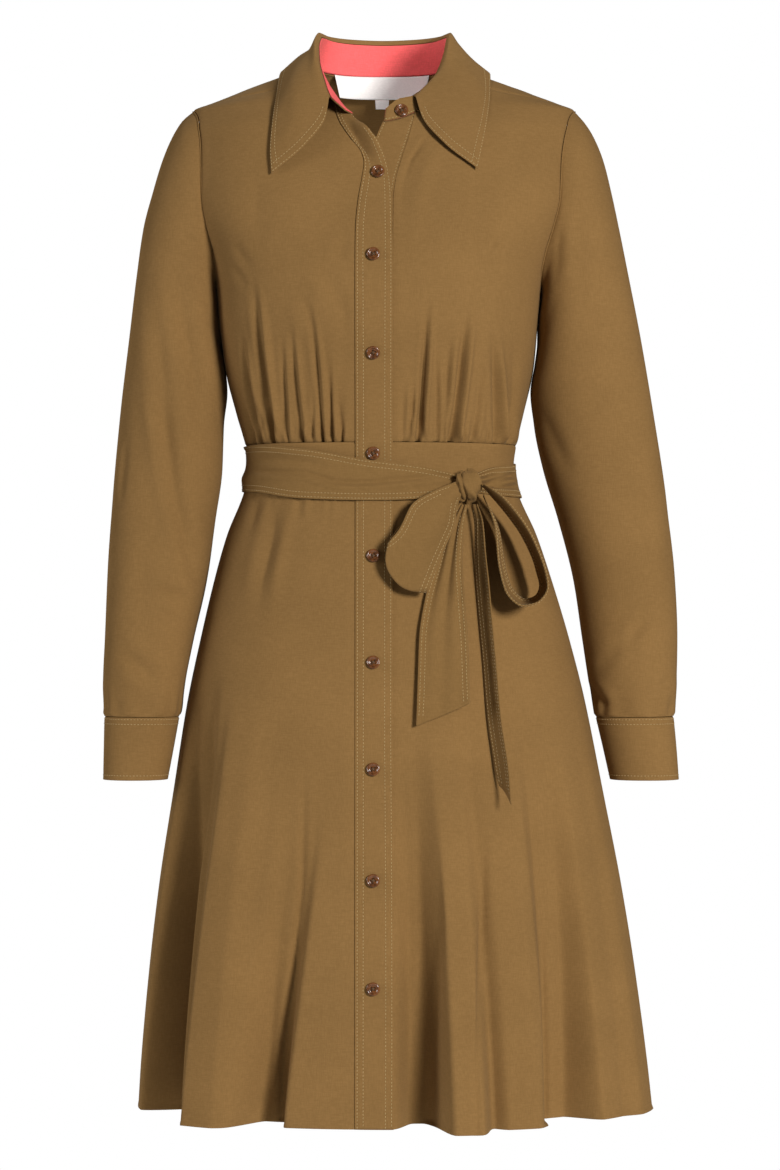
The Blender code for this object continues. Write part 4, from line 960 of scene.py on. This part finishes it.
def crepe(name, color, roughness, sheen, contrast=0.04):
    """Soft woven cloth: crosswise and lengthwise threads, slow mottling and a little sheen."""
    material, tree, shader = principled(name, roughness)
    low, high = times(color, 1.0 - contrast), times(color, 1.0 + contrast)
    slow = blend_colors(tree, noise(tree, 14.0, 2.0), low, high)
    both = tree.nodes.new("ShaderNodeMath")
    both.operation = "MULTIPLY"
    for socket, stretch in zip(both.inputs, (WARP_STRETCH, WEFT_STRETCH)):
        tree.links.new(noise(tree, THREADS_PER_METRE, 1.0, stretch), socket)
    weave = both.outputs["Value"]
    grain = blend_colors(tree, weave, (0.90, 0.89, 0.87), (1.05, 1.05, 1.06), 0.12, 0.40)
    mix = tree.nodes.new("ShaderNodeMix")
    mix.data_type = "RGBA"
    mix.blend_type = "MULTIPLY"
    mix.inputs[0].default_value = 1.0
    tree.links.new(slow, mix.inputs[6])
    tree.links.new(grain, mix.inputs[7])
    tree.links.new(mix.outputs[2], shader.inputs["Base Color"])
    shader.inputs["Sheen Weight"].default_value = sheen
    shader.inputs["Sheen Roughness"].default_value = 0.45
    shader.inputs["Sheen Tint"].default_value = (1.0, 0.86, 0.62, 1.0)
    shader.inputs["Specular IOR Level"].default_value = 0.0
    bump(tree, shader, weave, 0.00025)
    return material


def thread(name, color):
    """Twisted sewing thread."""
    material, tree, shader = principled(name, 0.6)
    twist = noise(tree, 2500.0)
    tree.links.new(blend_colors(tree, twist, times(color, 0.85), color), shader.inputs["Base Color"])
    return material


def tape(name, color):
    """Smooth woven label tape with fine ribs."""
    material, tree, shader = principled(name, 0.5)
    ribs = noise(tree, 1600.0, 1.0, (0.2, 1.0, 1.0))
    tree.links.new(blend_colors(tree, ribs, times(color, 0.93), color), shader.inputs["Base Color"])
    bump(tree, shader, ribs, 0.0001)
    return material


def tortoise(name):
    """Brown moulded resin with dark streaks and a polished face."""
    material, tree, shader = principled(name, 0.22)
    streaks = noise(tree, 260.0, 4.0, (1.0, 1.0, 0.5))
    color = blend_colors(tree, streaks, RESIN_DARK, RESIN_LIGHT, 0.30, 0.62)
    tree.links.new(color, shader.inputs["Base Color"])
    shader.inputs["Coat Weight"].default_value = 0.25
    shader.inputs["Coat Roughness"].default_value = 0.15
    return material


# ---------------------------------------------------------------- bodice
def settled(points, normals, relief, folds, to_side, to_top):
    """A bodice panel with its folds, which fade at the sewn edges and flatten at the waist."""
    folds = folds * ease(to_side / SIDE_FADE) * ease(to_top / TOP_FADE)
    folds = np.where(folds > 0.0, folds * ease(0.2 + far_from(points, "bottom") / 12.0), folds)
    return raised(points, normals, relief + folds)


def bodice_front(side):
    """A bodice front: its top runs along the neck and the shoulder, its side down the armhole."""
    arm = armhole_line(side, True)
    outer, runs = spaced(arm)
    edge, shift = (OVER_OUTER_EDGE, PLACKET_LAP) if side < 0 else (UNDER_SEWN_EDGE, SEAM)
    inner = front_edge(edge, edge[0][1] + (WAIST_Z - edge[0][1]) * runs, shift)
    start = ring_angle_on_neck(inner[0, 0], side)
    neck_seam = place(*neck_place(np.linspace(start, shoulder_neck_angle(side), 40)))
    neck_seam[0] = inner[0]
    over_top = np.concatenate([neck_seam[:-1], shoulder_line(side)])
    top_runs = shares_along(over_top)
    shares = crowded(FRONT_COLUMNS, 190.0)
    kink = top_runs[len(neck_seam) - 1]
    shares[np.argmin(np.abs(shares - kink))] = kink
    top = along_line(shares, top_runs, over_top)
    bottom = inner[-1] + (outer[-1] - inner[-1]) * shares[:, None]
    places = patch(inner, outer, top, bottom, runs, shares)
    points, normals = cover(places[:, ::-1] if side < 0 else places)
    x, z = points[..., 0], points[..., 2]
    to_arm, to_top = from_line(points, arm[::3]), from_line(points, over_top[::2])
    relief = np.minimum(ditch(points, ("bottom",), 0.7, 1.2),
                        groove(np.minimum(to_arm, to_top), *SEAM_ROLL))
    folds = waves(x, z, FRONT_SEEDS[side], 0.8)
    folds = folds + sum(crease(x, z, row) for row in FRONT_CREASES if row[4] * side > 0.0)
    folds = folds + by_paths(x, z, [row for row in BODICE_PATHS if row[0][0][0] * side > 0.0])
    for seed, *shape in FRONT_GATHERS:
        folds = folds + gathers(x, z, *FRONT_GATHERED[side], WAIST_Z, seed + side, *shape)
    beside_band = far_from(points, "right" if side < 0 else "left")
    folds = folds * ease((beside_band - 2.0) / BAND_FADE)
    return settled(points, normals, relief, folds, to_arm, to_top)


def bodice_back():
    """The bodice back, whose sides start at the neck and run over the shoulders."""
    sides = []
    for side in (1, -1):
        line = np.concatenate([shoulder_line(side)[:-1], armhole_line(side, False)])
        if side < 0:
            line[:, 0] = line[:, 0] % TURN
        sides.append(line)
    (left, runs), (right, _) = (spaced(line) for line in sides)
    shares = crowded(BACK_COLUMNS, 300.0)
    first, last = shoulder_neck_angle(1), shoulder_neck_angle(-1)
    degrees = first + (last - first) * shares
    angle, z = neck_place(degrees)
    top = place(np.where(degrees > 180.0, angle + TURN, angle), z)
    bottom = place(math.pi * shares, WAIST_Z)
    points, normals = cover(patch(left, right, top, bottom, runs, shares))
    x, z = points[..., 0], points[..., 2]
    to_side = np.minimum(*(from_line(points, line[::3]) for line in sides))
    relief = np.minimum(ditch(points, ("top", "bottom"), 0.8, 1.3), groove(to_side, *SEAM_ROLL))
    folds = waves(x, z, BACK_SEED, 0.9) + by_paths(x, z, BACK_PATHS)
    for seed, *shape in BACK_GATHERS:
        folds = folds + gathers(x, z, *BACK_GATHERED, WAIST_Z, seed, *shape)
    return settled(points, normals, relief, folds, to_side, far_from(points, "top"))


# ---------------------------------------------------------------- waistband and skirt
def at_x(x):
    return lambda z: angle_at_x(np.full(len(z), x), z)


def at_angle(angle):
    return lambda z: np.full(len(z), angle)


PANEL_EDGES = {
    # panel: angles of its first and its second edge at heights z, and its side seams
    "front_right": (at_angle(-math.pi), at_x(PLACKET_EDGE_RIGHT + PLACKET_LAP), ("left",)),
    "front_left": (at_x(PLACKET_EDGE_LEFT + BESIDE_PLACKET), at_angle(0.0), ("right",)),
    "back": (at_angle(0.0), at_angle(math.pi), ("left", "right")),
}


def lower_panel(which, heights, columns, seams, seed, wave):
    """Grid, normals and relief of a panel, and how far its folds may rise beside the side seams."""
    first, last, sides = PANEL_EDGES[which]
    start, end = first(heights)[:, None], last(heights)[:, None]
    points, normals = cover(place(start + (end - start) * crowded(columns, 250.0), heights[:, None]))
    free = ease(np.min([far_from(points, edge) for edge in sides], axis=0) / SIDE_FADE)
    uneven = waves(points[..., 0], points[..., 2], seed, wave, 90.0, 240.0)
    return points, normals, ditch(points, seams + sides, 0.7, 1.3) + free * uneven, free


def waistband(which, columns, seed):
    heights = WAIST_Z - SEAM + (BAND_BOTTOM_Z - WAIST_Z + 2.0 * SEAM) * crowded(14, 40.0, 4.0, 4)
    points, normals, relief, _ = lower_panel(which, heights, columns, ("top", "bottom"), seed, 0.3)
    return raised(points, normals, relief)


def skirt(which, columns, seed):
    """A skirt panel, with folds that fade at its seams and a narrow rolled hem."""
    heights = BAND_BOTTOM_Z - SEAM + (HEM_Z - BAND_BOTTOM_Z + SEAM) * crowded(104, 585.0)
    points, normals, relief, free = lower_panel(which, heights, columns, ("top",), seed, 0.7)
    x, z = points[..., 0], points[..., 2]
    in_front = which != "back"
    shape = SKIRT_FRONT_GATHERS if in_front else SKIRT_BACK_GATHERS
    folds = gathers(x, z, *SKIRT_GATHERED, BAND_BOTTOM_Z, seed, *shape)
    if in_front:
        folds = folds + by_paths(x, z, SKIRT_PATHS)
    hem = far_from(points, "bottom")
    relief = (relief + folds * free) * ease(hem / 3.0) + HEM_RISE * ease((HEM_DEPTH - hem) / 0.8)
    if in_front:
        beside_band = far_from(points, "right" if which == "front_right" else "left")
        relief = relief * ease(beside_band / BAND_FADE)
    return raised(points, normals, relief)


# ---------------------------------------------------------------- plackets
def placket(side, left_table, right_table):
    """Grid of a placket between its two edges, from the neck seam to the hem."""
    runs = np.linspace(0.0, 1.0, 130)
    below = np.linspace(WAIST_Z, HEM_Z, 250)[1:]
    edges = []
    for marks in (left_table, right_table):
        top = marks[0][1]
        edges.append(front_edge(marks, np.concatenate([top + (WAIST_Z - top) * runs, below])))
    left, right = edges
    shares = crowded(17, PLACKET_EDGE_LEFT - PLACKET_EDGE_RIGHT, 3.0, 4)[:, None]
    places = left[:, None] + (right - left)[:, None] * shares
    neck_seam = place(*neck_place(ring_angle_on_neck(places[0, 1:-1, 0], side)))
    fade = np.clip(1.0 - runs / 0.08, 0.0, 1.0)[:, None, None]
    places[:len(runs), 1:-1] += (neck_seam - places[0, 1:-1]) * fade
    return cover(places)[0]


def over_placket():
    """The top placket; near the neck its free edge rolls up towards the viewer."""
    points = placket(-1, OVER_OUTER_EDGE, OVER_FREE_EDGE)
    z = points[..., 2]
    free, sewn = far_from(points, "right"), far_from(points, "left")
    relief = BAND + 0.1 + (PLACKET_OUT - BAND - 0.1) * ease(sewn / 9.0)
    relief = relief + waves(points[..., 0] * 2.0, z, PLACKET_SEED, 0.2)
    for at in PLACKET_STITCHES:
        relief = relief + groove(free - at, *PLACKET_GROOVE) + groove(sewn - at, *PLACKET_GROOVE)
    roll = ease((z + 122.0) / 32.0) * ease(1.0 - (free - 3.0) / 25.0) * ease((-64.0 - z) / 20.0)
    return raised(points, grid_normals(points), relief + PLACKET_ROLL * roll)


def under_placket():
    points = placket(1, UNDER_FREE_EDGE, UNDER_SEWN_EDGE)
    rows = sum(groove(far_from(points, edge) - UNDER_STITCH, *UNDER_GROOVE) for edge in ("left", "right"))
    return raised(points, grid_normals(points), rows - 0.15)


# ---------------------------------------------------------------- sleeves and cuffs
def sleeve_rings(rows, side, turns, out=0.0):
    """Rings round a sleeve or cuff, one for each row of its table."""
    outer_z, inner_z, centre_y, half_depth, *reaches = np.atleast_2d(rows).T
    outer_x, inner_x = reaches[2:] if side > 0 else reaches[:2]
    outer = np.stack([outer_x, centre_y, outer_z], -1)
    inner = np.stack([inner_x, centre_y, inner_z], -1)
    centre = 0.5 * (outer + inner)
    reach = outer - centre
    length = np.linalg.norm(reach, axis=-1, keepdims=True)
    across, deep = spow(np.cos(turns), SLEEVE_SQUARENESS), spow(np.sin(turns), SLEEVE_SQUARENESS)
    points = centre[:, None] + reach[:, None] * ((1.0 + out / length) * across)[..., None]
    points[..., 1] -= (half_depth[:, None] + out) * deep
    points[..., 0] *= side
    return points


def sleeve(side):
    """A sleeve: rings from the armhole down to the cuff's seam, where it is pleated."""
    turns = np.linspace(0.0, TURN, SLEEVE_COLUMNS, endpoint=False)
    half = 0.5 * math.pi - turns[:SLEEVE_COLUMNS // 2 + 1]
    front, back = (skin(*armhole(side, in_front, half)) for in_front in (True, False))
    ring = np.concatenate([front, back[-2:0:-1]])
    rings = np.concatenate([ring[None], sleeve_rings(SLEEVES, side, turns)])
    runs = lengths(rings).mean(1)
    stops = runs[-1] * crowded(118, 560.0)
    stops[0], stops[-1] = 0.6, runs[-1] - SEAM
    points = follow(runs, rings.reshape(len(rings), -1), stops).reshape(len(stops), SLEEVE_COLUMNS, 3)
    if side > 0:
        points = points[:, ::-1]
    normals = grid_normals(points, closed=True)
    x, y, z = np.moveaxis(points, -1, 0)
    front_share = faces_front(normals)
    folds = waves(x + y * 0.7, z, SLEEVE_SEEDS[side], 0.8)
    folds = folds + front_share * by_paths(x, z, SLEEVE_PATHS_LEFT if side > 0 else SLEEVE_PATHS_RIGHT)
    folds = folds + (1.0 - front_share) * by_paths(x * side, z, SLEEVE_PATHS_BACK)
    top, bottom = far_from(points, "top"), far_from(points, "bottom")
    turn = np.arctan2(y + 20.0, x * side - 230.0)
    pleats = PLEAT_DEPTH * ease(1.0 - bottom / PLEAT_REACH) * np.cos(13.0 * turn + 3.0 * np.sin(2.0 * turn))
    folds = folds * ease(top / 16.0) * ease(bottom / 8.0) + pleats * ease(bottom / 3.0)
    return raised(points, normals, ditch(points, ("top", "bottom"), 0.5, 1.2) + folds)


def cuff(side):
    """A cuff, which laps over itself at the back."""
    rows = follow([0.0, 1.0, 2.0], CUFFS, crowded(18, 60.0, 5.0, 4) * 2.0)
    lap = math.radians(CUFF_LAP)
    turned = np.linspace(0.0, TURN + lap, 104)
    under = ease(1.0 - turned / (2.0 * lap))
    turns = 1.5 * math.pi - 0.5 * lap + turned
    points = sleeve_rings(rows, side, turns, -(BAND + 2.0 * SEAM) * under)
    if side > 0:
        points = points[:, ::-1]
    relief = ditch(points, ("top",), 0.7, 1.2)
    relief = relief + waves(points[..., 0] + points[..., 1], points[..., 2], CUFF_SEED, 0.35)
    for edge, at, *_ in CUFF_STITCHES:
        relief = relief + groove(far_from(points, edge) - at, *CUFF_GROOVE)
    return raised(points, grid_normals(points), relief)


# ---------------------------------------------------------------- collar
STAND_TABLE = table(STAND)
FALL_ANGLES = table([row[0] for row in FALL])
FALL_MARKS = table([row[1:] for row in FALL])


def square_to(direction, along):
    along = unit(along)
    return unit(direction - along * np.sum(direction * along, -1, keepdims=True))


def stand_top(theta):
    return follow(STAND_TABLE[:, 0], STAND_TABLE[:, 1:4], theta)


def stand_grid():
    """The collar stand, from its top edge down to the neck seam or the top placket."""
    theta = np.linspace(STAND_TABLE[-1, 0], STAND_TABLE[0, 0], 150)
    on_placket = ease((theta - STAND_ON_PLACKET[0]) / (STAND_ON_PLACKET[1] - STAND_ON_PLACKET[0]))
    foot = neck_point(theta, PLACKET_OUT * on_placket)
    head = stand_top(theta)
    along = neck_point(theta + 1.0) - neck_point(theta - 1.0)
    foot = foot + square_to(head - foot, along) * STAND_GAP
    shares = crowded(18, 30.0, 3.0, 3)[:, None, None]
    return head * (1.0 - shares) + foot * shares


def facing_grid(points):
    """The coral facing inside the stand; it hangs below the seam at the wearer's right."""
    theta = np.linspace(STAND_TABLE[-1, 0], STAND_TABLE[0, 0], points.shape[1])
    inside = points - grid_normals(points) * SEAM
    low = FACING_DROP * ease((theta - 165.0) / 30.0) * ease((252.0 - theta) / 10.0)
    drop = low[:, None] * table((0.72, 0.25, -0.65))
    rows = [(inside[-1] + share * drop)[None] for share in (0.35, 0.7, 1.0)]
    return np.concatenate([inside[:-1], *rows])[:, ::-1]


def collar_fall():
    """The fall, from the stand's top over the roll to the outer edge."""
    theta = FALL_ANGLES[-1] + (FALL_ANGLES[0] - FALL_ANGLES[-1]) * crowded(190, 420.0, 9.0, 8)
    root = stand_top(theta)
    along = stand_top(theta + 1.0) - stand_top(theta - 1.0)
    root = root + square_to(root - neck_point(theta), along) * COLLAR_ROOT_GAP
    marks = follow(FALL_ANGLES, FALL_MARKS.reshape(len(FALL), -1), theta).reshape(len(theta), 4, 3)
    marks = np.concatenate([root[:, None], marks], 1)
    runs = np.concatenate([np.linspace(0.0, 1.4, 14)[:-1], 1.4 + 2.6 * crowded(32, 60.0, 9.0, 8)])
    grid = follow(np.arange(5.0), np.moveaxis(marks, 1, 0).reshape(5, -1), runs)
    points = grid.reshape(len(runs), len(theta), 3)
    relief = np.zeros(points.shape[:2])
    for edge in ("bottom", "left", "right"):
        away = far_from(points, edge)
        relief = relief + sum(groove(away - at, *COLLAR_GROOVE) for at in COLLAR_STITCHES)
        relief = relief + groove(away, 0.5, 0.8)
    return raised(points, grid_normals(points), relief)


# ---------------------------------------------------------------- belt and bow
def belt_grid():
    """The belt round the waist, which fans out where it goes into the knot."""
    marks, top_marks, bottom_marks = table(BELT).T
    degrees = np.linspace(marks[-1], marks[0], 320)
    top, bottom = follow(marks, top_marks, degrees), follow(marks, bottom_marks, degrees)
    shares = crowded(22, 45.0, 4.0, 3)[:, None]
    places = place(np.radians(degrees), top * (1.0 - shares) + bottom * shares)
    angles = places[..., 0]
    over_buttons = ease(1.0 - (np.abs(angles + 0.5 * math.pi) - 0.5) / 0.9)
    points = skin(angles, places[..., 1], BELT_SIDE_OFF + (BELT_STAND_OFF - BELT_SIDE_OFF) * over_buttons)
    normals = grid_normals(points)
    front = faces_front(normals)
    relief = front * by_paths(points[..., 0], points[..., 2], BELT_PATHS)
    relief = relief + 0.4 * np.sin(shares * 3.0 * math.pi + 0.02 * degrees) * (1.0 - front)
    away = np.minimum(far_from(points, "top"), far_from(points, "bottom"))
    roll = ease(1.0 - np.abs(degrees + 178.0) / 42.0)
    relief = relief - roll * (groove(shares - 0.72, 2.8, 0.17) + 1.2 * ease(1.0 - shares / 0.5))
    fan = START_FAN * ease(1.0 - far_from(points, "right") / 34.0) * np.cos(shares * 5.0 * math.pi)
    near_knot = ease(1.0 - far_from(points, "left") / 70.0)
    fan = fan + END_FAN * near_knot * (0.6 + np.cos(shares * 4.6 * math.pi + 0.5))
    return raised(points, normals, relief * ease(away / 4.0) + fan * ease(away / 2.0))


def ribbon(name):
    """A loop or tail of the bow, cupped and softly creased along its length."""
    marks = table(BOW[name])
    stations = np.arange(len(marks), dtype=float)
    runs = np.linspace(0.0, stations[-1], 13 * (len(marks) - 1) + 1)
    shares = np.linspace(-1.0, 1.0, 25)
    centres, halves = follow(stations, marks[:, 0], runs), follow(stations, marks[:, 1], runs)
    points = centres[:, None] + halves[:, None] * shares[:, None]
    normals = grid_normals(points)
    depth, pleats, phase = RIBBON_FOLDS[name]
    size = np.linalg.norm(halves, axis=-1)[:, None] / 20.0
    from_knot = runs / runs[-1] if "tail" in name else 1.0 - np.abs(2.0 * runs / runs[-1] - 1.0)
    fade = (0.2 + 2.4 * (1.0 - from_knot) ** 2)[:, None]
    relief = depth * fade * size * np.cos(math.pi * pleats * shares + phase + 0.5 * runs[:, None])
    hollow = RIBBON_CUP * size * (1.0 - shares ** 2)
    if name == "belt_loop_right":
        station, reach, bulge = LOOP_END
        hollow = hollow * (1.0 - 2.0 * ease(runs - station + 0.5))[:, None]
        reach = np.where(runs > station, 0.5 * reach, reach)
        swell = bulge * ease(1.0 - np.abs(runs - station) / reach)[:, None] * (1.0 - np.abs(shares) ** 2.5)
        outwards = unit(np.stack([halves[:, 2], np.zeros(len(runs)), -halves[:, 0]], -1))
        points = raised(points, outwards[:, None], swell)
    return raised(points, normals, relief - hollow)


def knot():
    """The knot: a rolled bundle of cloth with a few wraps across it."""
    down = np.linspace(0.02, math.pi - 0.02, 60)[:, None]
    turn = np.linspace(0.0, TURN, 96, endpoint=False)
    x, y = np.sin(down) * np.cos(turn), np.sin(down) * np.sin(turn)
    z = np.cos(down) * np.ones_like(turn)
    lean = 0.55 * z + 0.85 * x + 0.2 * np.sin(2.0 * turn)
    swell = 1.0 + 0.11 * np.cos(6.5 * lean + 0.7) + 0.03 * np.cos(14.0 * lean + 1.0)
    swell = swell + groove(x + 0.35 + 0.3 * z, 0.18, 0.13)
    return np.stack([x, y, z], -1) * swell[..., None] * table(KNOT_RADII) + table(KNOT_CENTRE)


# ---------------------------------------------------------------- label
def tape_grid(half_width, top, bottom, taper, rows, columns):
    """A strip that hangs inside the back of the neck and narrows downwards by taper on each side."""
    across = np.linspace(-1.0, 1.0, columns)
    seam = np.full(columns, NECK_SIDE_Z)
    base = skin(-angle_at_x(LABEL_CENTRE_X + half_width * across, seam), seam, -LABEL_INSET)
    share = np.linspace(0.0, 1.0, rows)[:, None]
    points = np.repeat(base[None], rows, 0)
    points[..., 2] += (top - NECK_SIDE_Z) + (bottom - top) * share
    points[..., 0] -= taper * share * across
    return points


# ---------------------------------------------------------------- buttons
def button_mesh(resin):
    """A turned four-hole button with a rolled rim and a dished face, in the XY plane."""
    radius, thick = BUTTON_RADIUS * MM, BUTTON_THICK * MM
    mesh = bpy.data.meshes.new("button_blank")
    mesh.from_pydata([(x * radius, 0.0, z * thick) for x, z in BUTTON_PROFILE], [],
                     [(i, i + 1) for i in range(len(BUTTON_PROFILE) - 1)])
    blank = link("button_blank", mesh)
    screw = blank.modifiers.new("Turn", "SCREW")
    screw.steps = 48
    screw.render_steps = 48
    screw.use_merge_vertices = True
    screw.merge_threshold = 0.00001
    cutters = []
    for k in range(4):
        turn = math.pi * (0.25 + 0.5 * k)
        x, y = (BUTTON_HOLE_SPREAD * MM * f(turn) for f in (math.cos, math.sin))
        bpy.ops.mesh.primitive_cylinder_add(vertices=14, radius=BUTTON_HOLE * MM, depth=4.0 * thick,
                                            location=(x, y, 0.0))
        cutters.append(bpy.context.object)
        cut = blank.modifiers.new("Hole", "BOOLEAN")
        cut.operation = "DIFFERENCE"
        cut.object = cutters[-1]
    bpy.context.view_layer.update()
    finished = bpy.data.meshes.new_from_object(blank.evaluated_get(bpy.context.evaluated_depsgraph_get()))
    for obj in cutters + [blank]:
        bpy.data.objects.remove(obj)
    finished.materials.clear()
    finished.materials.append(resin)
    finished.shade_smooth()
    finished.set_sharp_from_angle(angle=math.radians(35.0))
    return finished


def thread_mesh(material):
    """Two crossed bars of thread, whose ends go down into the four holes."""
    verts, faces = [], []
    up = Vector((0.0, 0.0, 1.0))
    for lift, turn in ((0.0, 0.25 * math.pi), (0.18, 0.75 * math.pi)):
        ahead = Vector((math.cos(turn), math.sin(turn), 0.0))
        side = Vector((-ahead.y, ahead.x, 0.0))
        faces += tube_faces(len(verts), len(BUTTON_BAR), 8)
        for share, rise in BUTTON_BAR:
            centre = ahead * (1.05 * BUTTON_HOLE_SPREAD * share) + up * (0.5 * BUTTON_THICK + rise + lift)
            for around in (0.25 * math.pi * k for k in range(8)):
                around_bar = side * math.cos(around) + up * math.sin(around)
                verts.append(tuple((centre + BUTTON_BAR_RADIUS * around_bar) * MM))
    return smooth_mesh("button_thread", verts, faces, material)


def place_button(node, meshes, point, normal, spin):
    """Set a button and its thread on the cloth, facing along normal."""
    turn = Vector(normal).to_track_quat("Z", "Y").to_matrix().to_4x4()
    turn = turn @ Matrix.Rotation(math.radians(spin), 4, "Z")
    button, bars = link("resin_" + node, meshes[0]), link("thread_" + node, meshes[1])
    for piece in (button, bars):
        piece.matrix_world = Matrix.Translation(Vector(point) * MM) @ turn
    belongs(button, node)
    belongs(bars, None)


# ---------------------------------------------------------------- the whole dress
looks = {
    # slot: material
    "khaki_crepe": crepe("khaki_crepe", KHAKI, 0.75, 0.06),
    # belt_satin is the dress's cloth with a darker colour, painted shade on the belt, bow and knot.
    "belt_satin": crepe("belt_satin", BELT_KHAKI_PAINTED_SHADE, 0.70, 0.08, 0.03),
    "coral_facing": crepe("coral_facing", CORAL, 0.62, 0.05, 0.02),
    "white_label": tape("white_label", WHITE),
    "tortoise_plastic": tortoise("tortoise_plastic"),
}
BOTH_SIDES = ((-1, "right"), (1, "left"))

for side, word in BOTH_SIDES:
    cloth("front_" + word, bodice_front(side), CLOTH)
cloth("back", bodice_back(), CLOTH)
for which, columns, seed, _, _ in LOWER_PANELS:
    cloth("waistband_" + which.replace("front_", ""), waistband(which, columns, seed), CLOTH)
for which, _, _, columns, seed in LOWER_PANELS:
    cloth("skirt_" + which, skirt(which, columns, seed), CLOTH)

points = over_placket()
cloth("placket_over", points, BAND)
topstitch(points, [(edge, at, 0.001, 1.0) for edge in ("left", "right") for at in PLACKET_STITCHES])
points = under_placket()
cloth("placket_under", points, CLOTH)
topstitch(points, [(edge, UNDER_STITCH, 0.0, 0.35) for edge in ("left", "right")])

for side, word in BOTH_SIDES:
    cloth("sleeve_" + word, sleeve(side), CLOTH, closed=True)
    points = cuff(side)
    cloth("cuff_" + word, points, BAND)
    topstitch(points, CUFF_STITCHES)

points = stand_grid()
cloth("collar_stand", points, CLOTH, grow=1.0)
topstitch(points, [("bottom", STAND_STITCH, 0.0, 1.0)], CLOTH)
cloth("stand_facing", facing_grid(points), FACING, "coral_facing", grow=1.0)
points = collar_fall()
cloth("collar", points, BAND)
for at in COLLAR_STITCHES:
    topstitch(points, [("bottom", at, 0.01, 0.99), ("left", at, 0.36, 0.99), ("right", at, 0.36, 0.99)])

label = tape_grid(LABEL_HALF_WIDTH, LABEL_TOP_Z, LABEL_BOTTOM_Z, LABEL_TAPER, 14, 40)
cloth("neck_label", label, TAPE, "white_label", grow=1.0)
tab = tape_grid(TAB_HALF_WIDTH, LABEL_BOTTOM_Z - SEAM, TAB_BOTTOM_Z, TAB_TAPER, 8, 10)
cloth("size_tab", tab, TAPE, "white_label", grow=1.0)

points = belt_grid()
cloth("belt_wrap", points, BAND, "belt_satin")
topstitch(points, [(edge, at, 0.0, 1.0) for edge in ("top", "bottom") for at in BELT_STITCHES])
for name in BOW:
    points = ribbon(name)
    cloth(name, points, BAND, "belt_satin", grow=0.0)
    for edge in ("left", "right"):
        for face in (1.0, -1.0):
            rows = [(edge, at, first, 0.98) for at, first in RIBBON_STITCHES]
            topstitch(points, rows, 0.5 * BAND, face)
piece = make_shell("knot_cloth", knot(), looks["belt_satin"], KNOT_WALL, closed=True)
belongs(piece, "belt_knot")

make_stitches(thread("golden_thread", THREAD))

bars = thread_mesh(thread("button_thread", BUTTON_THREAD))
meshes = (button_mesh(looks["tortoise_plastic"]), bars)
for number, z in enumerate(BUTTON_HEIGHTS, start=2):
    z = np.array(z)
    angle = angle_at_x(TOP_BUTTON_X if number == 2 else BUTTON_LINE_X, z)
    point = skin(angle, z, PLACKET_OUT + 2.0 * SEAM)
    place_button(f"button_{number}", meshes, point, skin_normal(angle, z), BUTTON_SPINS[number])
before, foot, after = (neck_point(STAND_BUTTON_ANGLE + step) for step in (-2.0, 0.0, 2.0))
up_stand = stand_top(np.array([STAND_BUTTON_ANGLE]))[0] - foot
normal = unit(np.cross(after - before, up_stand))
point = foot + up_stand * STAND_BUTTON_RISE + normal * (CLOTH + 2.0 * SEAM)
place_button("button_1", meshes, point, normal, BUTTON_SPINS[1])
for side, word in reversed(BOTH_SIDES):
    point = sleeve_rings(CUFFS[1], side, np.array([1.5 * math.pi]), 2.0 * SEAM)[0, 0]
    place_button("cuff_button_" + word, meshes, point, (0.0, 1.0, 0.0), CUFF_BUTTON_SPIN)

# ---------------------------------------------------------------- floor, light and camera
bpy.ops.mesh.primitive_circle_add(vertices=96, radius=1.25, fill_type="NGON", location=(0.0, 0.0, FLOOR_Z))
floor = bpy.context.object
floor.name = "studio_floor"
paper, tree, shader = principled("pale_paper", 0.9)
pale = blend_colors(tree, noise(tree, 1.5), (0.86, 0.86, 0.86), (0.90, 0.90, 0.90))
tree.links.new(pale, shader.inputs["Base Color"])
floor.data.materials.append(paper)

for name, spot, aim, size, watts, color in LIGHTS:
    light = bpy.data.lights.new(name, "AREA")
    light.shape = "DISK"
    light.size = size
    light.energy = watts
    light.color = color
    lamp = link(name, light)
    lamp.location = spot
    lamp.rotation_mode = "QUATERNION"
    lamp.rotation_quaternion = (Vector(aim) - Vector(spot)).to_track_quat("-Z", "Y")
    lamp.visible_camera = False

# The world lights the dress softly, and the camera sees it as plain white.
world = bpy.data.worlds.new("studio")
world.use_nodes = True
nodes, links = world.node_tree.nodes, world.node_tree.links
surround, backdrop = nodes["Background"], nodes.new("ShaderNodeBackground")
for node, strength in ((surround, SURROUND_STRENGTH), (backdrop, 1.0)):
    node.inputs["Color"].default_value = (1.0, 1.0, 1.0, 1.0)
    node.inputs["Strength"].default_value = strength
rays = nodes.new("ShaderNodeLightPath")
choice = nodes.new("ShaderNodeMixShader")
links.new(rays.outputs["Is Camera Ray"], choice.inputs["Fac"])
links.new(surround.outputs["Background"], choice.inputs[1])
links.new(backdrop.outputs["Background"], choice.inputs[2])
links.new(choice.outputs["Shader"], nodes["World Output"].inputs["Surface"])
bpy.context.scene.world = world
bpy.context.scene.view_settings.view_transform = "Standard"

view = bpy.data.cameras.new("photo_view")
view.lens = LENS
view.sensor_width = 36.0
camera = link("photo_view", view)
camera.location = CAMERA
camera.rotation_euler = (0.5 * math.pi, 0.0, 0.0)
bpy.context.scene.camera = camera
